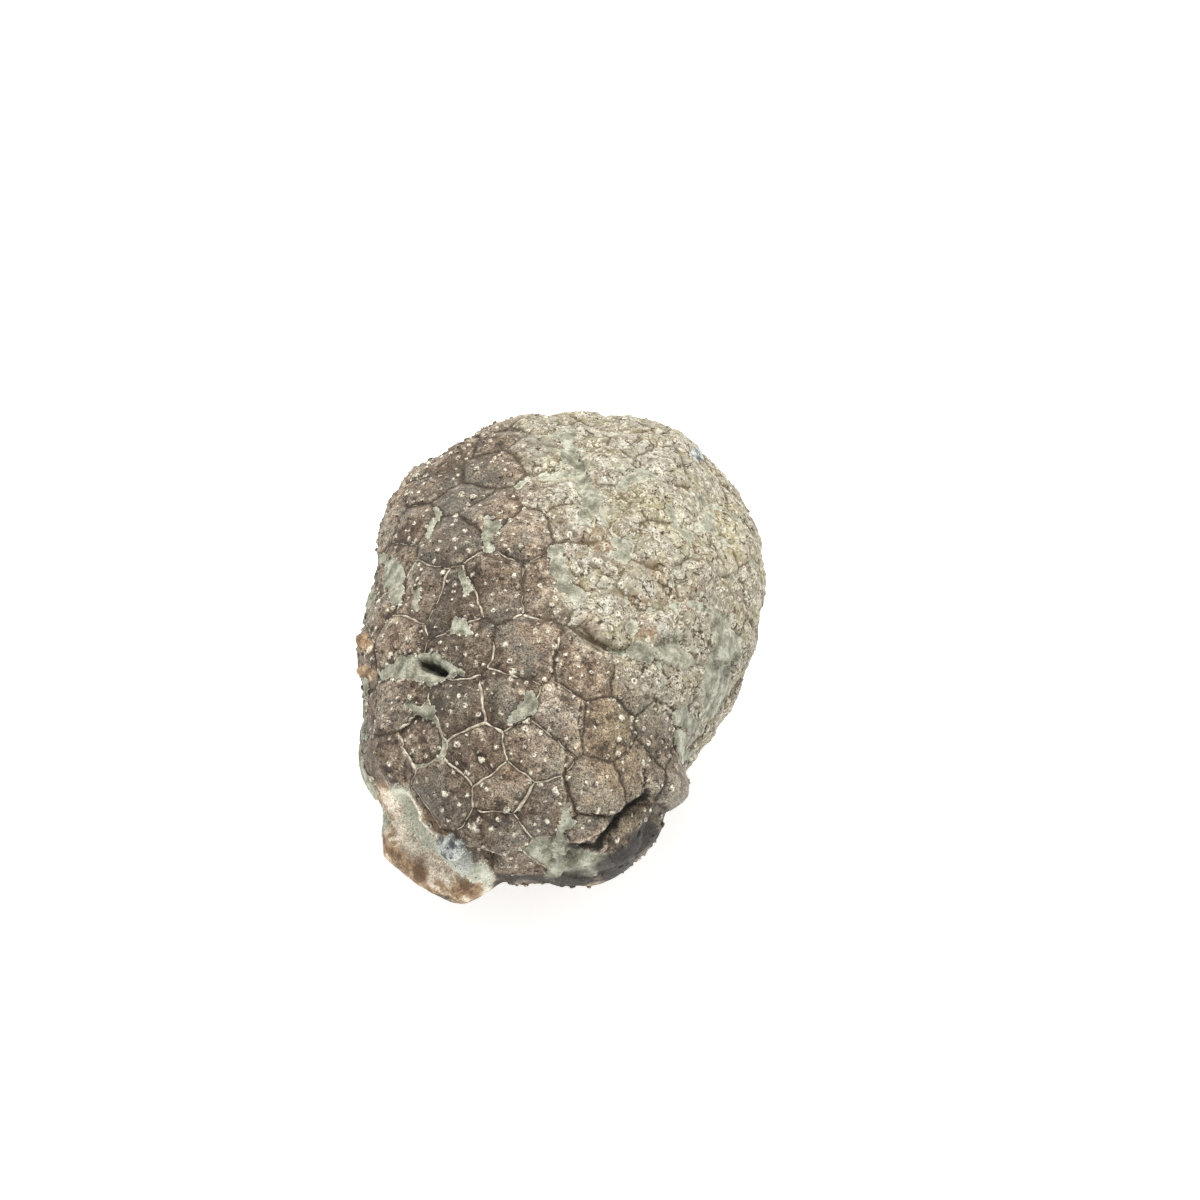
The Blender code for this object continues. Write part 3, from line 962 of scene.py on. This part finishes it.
def vein_tree(material):
    """Turns a net of edges into round veins as broad as its breadth field says."""
    tree = Growth("vein_growth", Step="Float", Wobble="Float")
    curve = tree.made("GeometryNodeMeshToCurve", "Curve", {"Mesh": tree.given["Geometry"]})
    links = {"Curve": curve, "Length": tree.given["Step"]}
    even = tree.made("GeometryNodeResampleCurve", "Curve", links, mode="LENGTH")
    wave = tree.made("ShaderNodeTexNoise", "Color", {"Scale": VEIN_WAVES, "Detail": 2.0})
    links = {0: wave, 1: (0.5, 0.5, 0.5)}
    centred = tree.made("ShaderNodeVectorMath", "Vector", links, operation="SUBTRACT")
    links = {0: centred, "Scale": tree.given["Wobble"]}
    shift = tree.made("ShaderNodeVectorMath", "Vector", links, operation="SCALE")
    moved = tree.made("GeometryNodeSetPosition", "Geometry", {"Geometry": even, "Offset": shift})
    links = {"Resolution": VEIN_SIDES, "Radius": 1.0}
    circle = tree.made("GeometryNodeCurvePrimitiveCircle", "Curve", links, mode="RADIUS")
    breadth = tree.field("breadth")
    links = {"Curve": moved, "Profile Curve": circle, "Scale": breadth, "Fill Caps": True}
    return tree.finish(tree.made("GeometryNodeCurveToMesh", "Mesh", links), material)


# ---------------- tips, rings and crumbs


def new_shape(name, shape):
    return bpy.data.objects.new(name, mesh_of(name, shape))


def ringed_bump(name, rings, sides, middle, lean=0.0, stretch=1.0, seed=0):
    """A lumpy bump from rings of (radius, height, paleness); its rim may lean to one side."""
    shape = bmesh.new()
    tip = shape.verts.layers.float.new("tip")

    def corner(radius, height, pale, angle):
        low = 1 - lean * (0.5 - 0.5 * math.cos(angle))
        way = Vector((math.cos(angle), math.sin(angle), 0))
        wide = radius * (1 + 0.6 * noise.noise(1.1 * way + Vector((9.0 * seed, 4.0, 0))))
        vertex = shape.verts.new((wide * way.x * stretch, wide * way.y, height * low))
        vertex[tip] = pale * low
        return vertex

    loops = []
    for radius, height, pale in rings:
        turns = (2 * math.pi * k / sides for k in range(sides))
        loops.append([corner(radius, height, pale, angle) for angle in turns])
    for outer, inner in zip(loops[:-1], loops[1:], strict=True):
        for k in range(sides):
            after = (k + 1) % sides
            shape.faces.new((outer[k], outer[after], inner[after], inner[k]))
    top = shape.verts.new((0.0, 0.0, middle[0]))
    top[tip] = middle[1]
    for k in range(sides):
        shape.faces.new((loops[-1][k], loops[-1][(k + 1) % sides], top))
    return new_shape(name, shape)


def arc_ridge(name, turn, steps=7):
    """What is left of a pimple's rim: a ridge along part of a circle, in degrees."""
    shape = bmesh.new()
    tip = shape.verts.layers.float.new("tip")
    rows = []
    for k in range(steps + 1):
        share = k / steps
        angle = math.radians(turn) * (share - 0.5)
        full = 0.3 + 0.7 * math.sin(math.pi * share) ** 0.7
        row = []
        for aside, height, pale in ((0.42, -0.4, 0.1), (0.12, 0.42, 1.0), (-0.3, -0.1, 0.3)):
            radius = 0.62 + aside * full
            low = height * full if height > 0 else height
            vertex = shape.verts.new((radius * math.cos(angle), radius * math.sin(angle), low))
            vertex[tip] = pale
            row.append(vertex)
        rows.append(row)
    for before, after in zip(rows[:-1], rows[1:], strict=True):
        for k in range(2):
            shape.faces.new((before[k], after[k], after[k + 1], before[k + 1]))
    shape.faces.new(rows[0])
    shape.faces.new(rows[-1][::-1])
    bmesh.ops.recalc_face_normals(shape, faces=shape.faces)
    return new_shape(name, shape)


def crumb(name, seed):
    """A small rough lump."""
    shape = ball(1)
    for vertex in shape.verts:
        vertex.co *= 1 + 0.45 * noise.noise(vertex.co * 1.3 + Vector((7.0 * seed, 0, 0)))
        vertex.co.z *= 0.7
    return new_shape(name, shape)


def tip_kinds():
    dome = ((1.0, -0.4, 0.1), (0.7, 0.18, 0.8), (0.35, 0.36, 1.0))
    crater = ((1.0, -0.4, 0.1), (0.72, 0.26, 0.95), (0.4, 0.24, 0.9))
    return (
        ringed_bump("dot", dome, 6, (0.4, 1.0), seed=1),
        ringed_bump("bean", dome, 7, (0.4, 1.0), stretch=1.5, seed=2),
        ringed_bump("leaning_dot", dome, 6, (0.3, 0.9), lean=0.6, seed=3),
        ringed_bump("crater", crater, 7, (0.0, 0.1), lean=0.3, seed=4),
        arc_ridge("half_ring", 180, 6),
        ringed_bump("open_crater", crater, 7, (0.0, 0.1), lean=0.8, stretch=1.2, seed=5),
        arc_ridge("comma", 130, 5),
        arc_ridge("horseshoe", 230, 7),
    )


def ring_kinds():
    ring = ((1.0, -0.3, 0.1), (0.78, 0.2, 0.9), (0.5, 0.16, 0.8))
    return (
        ringed_bump("ring", ring, 8, (-0.12, 0.0), seed=6),
        ringed_bump("long_ring", ring, 8, (-0.12, 0.0), stretch=1.3, seed=7),
        ringed_bump("broken_ring", ring, 8, (-0.12, 0.0), lean=0.8, seed=8),
        arc_ridge("worn_arc", 200, 6),
    )


def crumb_kinds():
    return tuple(crumb(f"crumb_{number}", number) for number in range(3))


# ---------------- finishes


def tone(red, green, blue):
    """A colour as seen on a screen, 0 to 255, turned into light."""
    shares = (channel / 255 for channel in (red, green, blue))
    return (*(s / 12.92 if s <= 0.04045 else ((s + 0.055) / 1.055) ** 2.4 for s in shares), 1.0)


FRESH = (
    (0.39, tone(57, 45, 36)), (0.45, tone(91, 75, 61)), (0.50, tone(119, 103, 87)),
    (0.55, tone(140, 124, 107)), (0.61, tone(170, 156, 137)),
)
FRESH_COOL = tone(127, 126, 117)
FRESH_WARM = tone(134, 113, 92)
AGED = (
    (0.39, tone(112, 103, 90)), (0.45, tone(142, 136, 123)), (0.50, tone(158, 153, 140)),
    (0.55, tone(172, 169, 158)), (0.61, tone(198, 197, 187)),
)
AGED_OCHRE = tone(160, 150, 112)
AGED_OLIVE = tone(146, 139, 108)
# Tints of the aged plates: (size of the blobs, from, to, share, colour)
AGED_CLOUDS = (
    (6.5, 0.54, 0.66, 0.5, tone(152, 140, 128)),
    (5.0, 0.55, 0.66, 0.5, tone(142, 145, 124)),
    (7.0, 0.50, 0.60, 0.6, AGED_OLIVE),
)
AGED_BROWN = tone(112, 93, 66)
SMOOTH_GREY = tone(114, 111, 101)
TIP_CREAM = tone(211, 204, 187)
MUD = (
    (0.37, tone(99, 98, 83)), (0.46, tone(123, 122, 105)), (0.54, tone(141, 140, 123)),
    (0.63, tone(166, 164, 146)),
)
CALCITE_COLOURS = (
    (0.40, tone(108, 85, 61)), (0.47, tone(140, 114, 86)), (0.54, tone(165, 141, 113)),
    (0.60, tone(212, 200, 180)),
)
MUD_PALE = tone(216, 217, 200)
CREAM_WHITE = tone(236, 227, 208)
SLATE_COLOURS = ((0.42, tone(72, 75, 76)), (0.5, tone(148, 152, 149)), (0.58, tone(190, 194, 188)))
SLATE_PALE = tone(204, 206, 196)
RUST_BROWN = tone(126, 98, 68)
OCHRE_BROWN = tone(124, 112, 86)
GLOSS = 0.35  # of all the stones
# The grain multiplies the colour below it by something between these
GRAIN_DARK = (0.2, 0.19, 0.18, 1.0)
GRAIN_LIGHT = (1.75, 1.75, 1.73, 1.0)
# Dark of the ring pits, and of painted shade in hollows, pores and along the mud's edge
DIRT_AND_SHADE = tone(54, 45, 36)
# Painted shade in the hollows and pores of weathered plates
HOLLOW_SHADE_WORN = tone(88, 76, 55)
CRACK_BROWN = tone(66, 54, 38)
SHADED = tone(48, 44, 38)
# Pale of rims, and of painted highlights on raised places and flake lips
PALE_RIM_AND_HIGHLIGHT = tone(206, 197, 177)
VEIN = ((0.4, tone(136, 124, 105)), (0.5, tone(174, 163, 144)), (0.6, tone(207, 200, 183)))


class Value:
    """A number or colour in a finish, from which sums, products and ramps make new ones."""

    def __init__(self, finish, socket):
        self.finish, self.socket = finish, socket

    def joined(self, kind, first, second):
        return self.finish.value("ShaderNodeMath", 0, {0: first, 1: second}, operation=kind)

    def __add__(self, other):
        return self.joined("ADD", self, other)

    def __sub__(self, other):
        return self.joined("SUBTRACT", self, other)

    def __rsub__(self, other):
        return self.joined("SUBTRACT", other, self)

    def __mul__(self, other):
        return self.joined("MULTIPLY", self, other)

    def __abs__(self):
        return self.joined("ABSOLUTE", self, 0.0)

    def at_least(self, other):
        return self.joined("MAXIMUM", self, other)

    def ramp(self, low, high, start=0.0, end=1.0):
        links = {"Value": self, 1: low, 2: high, 3: start, 4: end}
        return self.finish.value("ShaderNodeMapRange", "Result", links)


class Finish(Nodes):
    """A stone's shading, built from noise at real sizes and from the surface's own fields."""

    def __init__(self, name):
        self.material = bpy.data.materials.new(name)
        self.material.use_nodes = True
        super().__init__(self.material.node_tree)
        self.place = self.add("ShaderNodeTexCoord").outputs["Object"]

    def value(self, kind, output, links=(), **settings):
        return Value(self, self.made(kind, output, links, **settings))

    def field(self, name):
        return self.value("ShaderNodeAttribute", "Fac", attribute_name=name)

    def cloud(self, size, detail=4.0, rough=0.55, warp=0.0):
        """Noise whose blobs are about that many millimetres across."""
        links = {
            "Vector": self.place,
            "Scale": 1 / (size * METRES),
            "Detail": detail,
            "Roughness": rough,
            "Distortion": warp,
        }
        return self.value("ShaderNodeTexNoise", "Fac", links)

    def cells(self, size):
        """How far it is to the nearest of many scattered points, as a share of that size."""
        links = {"Vector": self.place, "Scale": 1 / (size * METRES)}
        return self.value("ShaderNodeTexVoronoi", "Distance", links)

    def mix(self, share, below, above, kind="MIX"):
        links = {0: share, 6: below, 7: above}
        return self.value("ShaderNodeMix", 2, links, data_type="RGBA", blend_type=kind)

    def scaled(self, colour, share):
        """The colour made darker or lighter by that share."""
        links = {0: colour, "Scale": share}
        return self.value("ShaderNodeVectorMath", "Vector", links, operation="SCALE")

    def palette(self, value, stops):
        """Colours along a value, from (value, colour) stops."""
        node = self.add("ShaderNodeValToRGB", {"Fac": value})
        ramp = node.color_ramp
        while len(ramp.elements) < len(stops):
            ramp.elements.new(0.5)
        for element, (at, colour) in zip(ramp.elements, stops, strict=True):
            element.position = at
            element.color = colour
        return Value(self, node.outputs["Color"])

    def finish(self, colour, roughness, relief, relief_height):
        """Joins colour, roughness and a fine relief of that height in millimetres."""
        links = {"Height": relief, "Distance": relief_height * METRES, "Strength": 1.0}
        normal = self.value("ShaderNodeBump", "Normal", links)
        shader = self.tree.nodes["Principled BSDF"]
        joins = {"Base Color": colour, "Roughness": roughness, "Normal": normal}
        for socket, value in joins.items():
            self.tree.links.new(value.socket, shader.inputs[socket])
        shader.inputs["Specular IOR Level"].default_value = GLOSS
        return self.material


def plates_colour(stone, mottle, fine, flake):
    """Fresh brown plates that weather to pale olive grey."""
    mix, cloud = stone.mix, stone.cloud
    tint, weather, suture = stone.field("tint"), stone.field("weather"), stone.field("suture")
    blotch = cloud(3.6, 5.0, 0.6, 0.6)
    value = mottle * 0.5 + blotch * 0.5 + tint * 0.012
    fresh = stone.palette(value, FRESH)
    cool = (cloud(9.0, 2.0) + tint * 0.05).ramp(0.5, 0.62, 0.0, 0.45)
    fresh = mix(cool, fresh, FRESH_COOL)
    fresh = mix(cloud(4.6, 3.0).ramp(0.52, 0.66, 0.0, 0.5), fresh, FRESH_WARM)
    # Painted shade: fresh plates grow darker towards their sutures, as their rounded edges would in
    # shade
    lit = stone.field("lit").ramp(-1.0, 1.0, 0.44, 1.42) * suture.ramp(0.0, 2.4, 0.84, 1.06)
    fresh = stone.scaled(fresh, lit)
    aged = stone.palette(value, AGED)
    for size, low, high, share, colour in AGED_CLOUDS:
        aged = mix(cloud(size, 3.0).ramp(low, high, 0.0, share), aged, colour)
    low = cloud(2.6, 4.0, 0.6) + suture.ramp(0.0, 1.6, 0.05, -0.02)
    aged = mix(low.ramp(0.55, 0.59, 0.0, 0.7), aged, AGED_BROWN)
    aged = stone.scaled(aged, flake.ramp(0.49, 0.51, 0.92, 1.05))
    aged = mix(flake.ramp(0.5, 0.47, 0.0, 0.35), aged, AGED_OLIVE)
    # Painted highlight: a pale lip along the upper edge of each flaked layer
    lip_highlight = flake.ramp(0.503, 0.509) * flake.ramp(0.53, 0.514, 0.0, 0.6)
    aged = mix(lip_highlight, aged, PALE_RIM_AND_HIGHLIGHT)
    plate = mix((weather + (mottle - 0.5) * 0.8).ramp(0.15, 0.85), fresh, aged)
    plate = mix(stone.field("smooth") * 0.6, plate, SMOOTH_GREY)
    plate = mix(stone.field("rust") * mottle.ramp(0.35, 0.6, 0.2, 0.9), plate, RUST_BROWN)
    ochre = mix(weather, OCHRE_BROWN, AGED_OCHRE)
    plate = mix(stone.field("ochre") * blotch.ramp(0.4, 0.6, 0.2, 0.65), plate, ochre)
    line = (suture + (fine - 0.5) * 0.5).ramp(weather.ramp(0.2, 0.8, 0.5, 0.3), 0.1)
    dot = stone.cells(0.85).ramp(0.24, 0.15) * weather.ramp(0.2, 0.7, 0.3, 0.8)
    some = blotch.ramp(0.46, 0.5, 0.1, 1.0) * weather.ramp(0.3, 0.7, 0.3, 1.0)
    crack = abs(flake - 0.5).ramp(0.026, 0.012) * some
    for mark in (line * weather.ramp(0.2, 0.8, 0.7, 0.4), dot, crack):
        plate = mix(mark, plate, CRACK_BROWN)
    return plate


def with_painted_shade(stone, plate, mottle, fine):
    """The plates with painted shade in their hollows and pores, dark pits in the rings, pale tips,
    painted highlights on raised places, and painted shade where the dark field lies.
    """
    mix, weather, pore = stone.mix, stone.field("weather"), stone.field("pore")
    # Painted shade: hollows and pores are darkened, more where they lie deeper
    hollow_shade = mix(weather, DIRT_AND_SHADE, HOLLOW_SHADE_WORN)
    shade_in_hollows = stone.field("hollow").ramp(0.15, 1.0) * mottle.ramp(0.4, 0.6, 0.2, 0.75)
    plate = mix(shade_in_hollows, plate, hollow_shade)
    plate = mix(pore.ramp(0.05, 0.9, 0.0, 0.7), plate, hollow_shade)
    plate = mix(stone.field("pit") * 0.9, plate, DIRT_AND_SHADE)
    tip = stone.field("tip") * stone.field("fade") * fine.ramp(0.4, 0.55, 0.4, 1.0)
    plate = mix(tip.ramp(0.12, 0.5, 0.0, weather.ramp(0.3, 0.8, 0.88, 0.7)), plate, TIP_CREAM)
    # Painted highlight: places that stand out above their surroundings are paled
    plate = mix(pore.ramp(-0.15, -0.9) * mottle.ramp(0.4, 0.6, 0.1, 0.5), plate, PALE_RIM_AND_HIGHLIGHT)
    return mix(stone.field("dark") * mottle.ramp(0.35, 0.65, 1.0, 0.6), plate, SHADED)


def limestone():
    """The finish of skin, tips and rings: plates, mud, the broken end, their stains and painted
    shade.
    """
    stone = Finish("plated_limestone")
    mix, field, cloud = stone.mix, stone.field, stone.cloud
    mottle, fine, speck = cloud(1.3, 5.0, 0.66), cloud(0.42, 4.0, 0.7), cloud(0.22, 2.0)
    weather, cream = field("weather"), field("cream")
    flake = cloud(3.4, 2.8, 0.5, 1.0)
    plate = with_painted_shade(stone, plates_colour(stone, mottle, fine, flake), mottle, fine)

    # the broken end's open stone, and the mud with its pale edge
    edge = field("mud") + (fine - 0.5) * 0.7
    # Painted shade: fresh plates are darkened along the mud's edge; weathered ones get a pale rim
    # there
    plate = mix(edge.ramp(0.2, 0.42, 0.0, 0.4), plate, mix(weather, DIRT_AND_SHADE, PALE_RIM_AND_HIGHLIGHT))
    calcite = stone.palette(cloud(2.8, 6.0, 0.66, 0.5), CALCITE_COLOURS)
    open_stone = field("calcite") + (mottle - 0.5) * 0.6
    surface = mix(open_stone.ramp(0.1, 0.35), plate, calcite)
    surface = mix(cream * mottle.ramp(0.34, 0.5, 0.35, 1.0), surface, CREAM_WHITE)
    rim = edge.ramp(0.25, 0.45) * open_stone.ramp(0.1, 0.3, 0.0, 0.8)
    surface = mix(rim, surface, PALE_RIM_AND_HIGHLIGHT)
    mud = stone.palette(cloud(1.8, 5.0, 0.62), MUD)
    thin, blotch = edge.ramp(0.9, 0.55, 0.0, 0.4), cloud(2.4, 5.0, 0.6)
    for pale in (thin, cream.ramp(0.0, 0.5, 0.0, 0.65), blotch.ramp(0.5, 0.62, 0.0, 0.4)):
        mud = mix(pale, mud, MUD_PALE)
    surface = mix(edge.ramp(0.45, 0.55), surface, mud)
    surface = mix(field("dark").ramp(0.3, 0.7, 0.0, 0.92), surface, SHADED)
    slate = stone.palette(mottle, SLATE_COLOURS)
    slate = mix(cream.ramp(0.1, 0.5, 0.0, 0.8), slate, SLATE_PALE)
    slated = field("slate") + (mottle - 0.5) * 0.8
    surface = mix(slated.ramp(0.3, 0.6), surface, slate)

    # the grain, weaker where the surface is even
    grain = fine * 0.45 + speck * 0.55
    grey = mix(grain.ramp(0.39, 0.61), GRAIN_DARK, GRAIN_LIGHT)
    even = weather * cloud(5.0, 3.0).ramp(0.44, 0.56, 0.25, 0.8) + field("calcite") * 0.5
    even = even.at_least(field("mud").at_least(field("slate")) * 0.6)
    surface = mix(1.0 - even, surface, grey, "MULTIPLY")
    bare_plate = 1.0 - edge.at_least(field("calcite"))
    step = flake.ramp(0.49, 0.505, 0.0, 0.4) * weather * bare_plate
    return stone.finish(surface, mottle.ramp(0.3, 0.7, 0.55, 0.9), grain + step, 0.3)


def plain_finish(name, size, rough, colours, smoothest, roughest):
    """A finish of one cloud of colours, for the veins and the crumbs."""
    finish = Finish(name)
    cloud = finish.cloud(size, 4.0, rough)
    roughness = cloud.ramp(0.3, 0.7, smoothest, roughest)
    return finish.finish(finish.palette(cloud, colours), roughness, finish.cloud(0.3, 3.0), 0.1)


# ---------------- floor, light and camera

IMAGE_PIXELS = 1200
PIXELS_PER_MM = 6.3
VIEW_DISTANCE = 1000.0  # from the middle of the body, in millimetres
MIDDLE_IN_IMAGE = (561, 650)  # where the middle of the body appears, in pixels
SENSOR = 36.0
CAMERA_REACH = (0.01, 10.0)  # in metres
FLOOR_SIZE = 3.0
FLOOR_LOOK = {
    "Base Color": (0.9, 0.9, 0.9, 1.0),
    "Roughness": 0.8,
    "Emission Color": (1.0, 1.0, 1.0, 1.0),
    "Emission Strength": 0.65,
}
# (degrees round from the front, degrees up, distance and size in metres, power, colour)
LIGHTS = {
    "key": (165, 78, 0.9, 0.3, 11.0, (1.0, 0.99, 0.97)),
    "fill": (-30, 50, 1.1, 0.7, 0.6, (0.98, 0.99, 1.0)),
}
WORLD_LIGHT = 0.62


def make_floor():
    shape = bmesh.new()
    bmesh.ops.create_grid(shape, x_segments=1, y_segments=1, size=FLOOR_SIZE)
    floor = link(new_shape("floor", shape))
    material = bpy.data.materials.new("pale_floor")
    material.use_nodes = True
    shader = material.node_tree.nodes["Principled BSDF"]
    for label, value in FLOOR_LOOK.items():
        shader.inputs[label].default_value = value
    floor.data.materials.append(material)


def make_camera():
    """Looks square at the face, with the body's middle at its place in the image."""
    half = IMAGE_PIXELS / 2
    aside = (half - MIDDLE_IN_IMAGE[0]) / PIXELS_PER_MM
    above = (MIDDLE_IN_IMAGE[1] - half) / PIXELS_PER_MM
    place = np.array(MIDDLE) + aside * RIGHT + above * UP + VIEW_DISTANCE * OUT
    data = bpy.data.cameras.new("camera")
    data.sensor_width = SENSOR
    data.lens = SENSOR * VIEW_DISTANCE * PIXELS_PER_MM / IMAGE_PIXELS
    data.clip_start, data.clip_end = CAMERA_REACH
    camera = link(bpy.data.objects.new("camera", data))
    camera.location = place * METRES
    camera.rotation_euler = (math.radians(90 - FACE_ELEVATION), 0, math.radians(FACE_AZIMUTH))
    bpy.context.scene.camera = camera


def make_light():
    """Square lights aimed at the fossil, and an even light from all round."""
    for name, (azimuth, elevation, distance, size, power, colour) in LIGHTS.items():
        data = bpy.data.lights.new(name, "AREA")
        data.size = size
        data.energy = power
        data.color = colour
        light = link(bpy.data.objects.new(name, data))
        way = Vector(bearing(azimuth, elevation))
        light.location = way * distance + Vector(MIDDLE) * METRES
        light.rotation_euler = way.to_track_quat("Z", "Y").to_euler()
    world = bpy.data.worlds.new("studio")
    world.use_nodes = True
    background = world.node_tree.nodes["Background"]
    background.inputs["Color"].default_value = (1.0, 1.0, 1.0, 1.0)
    background.inputs["Strength"].default_value = WORLD_LIGHT
    bpy.context.scene.world = world
    bpy.context.scene.view_settings.view_transform = "Standard"


# ---------------- the whole


def without(kinds):
    for kind in kinds:
        bpy.data.objects.remove(kind)


def planted(name, skin, knobs, normals, material, chosen, kinds, size):
    """A small shape on each of the chosen pimples or rings, as one piece."""
    mesh, at = skin.data, knobs.vertices[chosen]
    rng = random.Random(len(at))
    facing = 0.5 * normals[at] + 0.5 * vertex_normals(mesh)[at]
    dots = bpy.data.meshes.new(name)
    dots.from_pydata(positions(mesh)[at].tolist(), [], [])
    set_field(dots, "facing", facing, "FLOAT_VECTOR")
    turns = [(rng.uniform(-0.2, 0.2), rng.uniform(-0.2, 0.2), rng.uniform(0, 6.28)) for _ in at]
    set_field(dots, "turn", turns, "FLOAT_VECTOR")
    set_field(dots, "kind", [rng.randrange(len(kinds)) for _ in at], "INT")
    uneven = np.array([rng.uniform(0.7, 1.1) for _ in at])
    set_field(dots, "size", knobs.radii[chosen] * METRES * uneven)
    set_field(dots, "fade", knobs.pale[chosen])
    for field in ("tint", "lit", "weather", "smooth", "rust", "ochre", "dark", "cream"):
        set_field(dots, field, field_of(mesh, field)[at])
    piece = grown(name, dots, planting_tree(name + "_growth", kinds, material), Size=size)
    without(kinds)
    return piece


def scattered(name, mesh, field, kinds, material):
    """Crumbs grown on the skin, as one piece."""
    smallest, largest = (radius * METRES for radius in CRUMB_RADII)
    growth = scatter_tree(name + "_growth", field, kinds, material)
    sizes = {"Spacing": CRUMB_SPACING * METRES, "Smallest": smallest, "Largest": largest}
    piece = grown(name, mesh, growth, Seed=CRUMB_SEED, **sizes)
    without(kinds)
    return piece


def main():
    noise.seed_set(SEED)
    stone = limestone()
    vein = plain_finish("vein_mineral", 1.1, 0.66, VEIN, 0.5, 0.75)
    mud = plain_finish("mud_crust", 0.9, 0.6, MUD, 0.75, 0.95)
    centres, worn, lost = plate_centres()
    mesh, points, knobs, normals = make_skin(centres, worn, lost)
    skin = link(bpy.data.objects.new("theca_skin", mesh))
    mesh.materials.append(stone)
    veins = make_veins(skin, points, centres, vein_tree(vein))
    growing = (skin, knobs, normals, stone)
    pimples = planted("pimples", *growing, ~knobs.worn, tip_kinds(), PIMPLE_TIP_SIZE)
    rings = planted("worn_rings", *growing, knobs.worn, ring_kinds(), RING_RIM_SIZE)
    crumbs = scattered("mud_crumbs", mesh, "crumbs", crumb_kinds(), mud)
    thin_out(skin, SKIN_TRIANGLES)
    for piece in (skin, veins, pimples, rings, crumbs):
        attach(piece, "root")
    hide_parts("theca")
    make_floor()
    make_light()
    make_camera()


main()
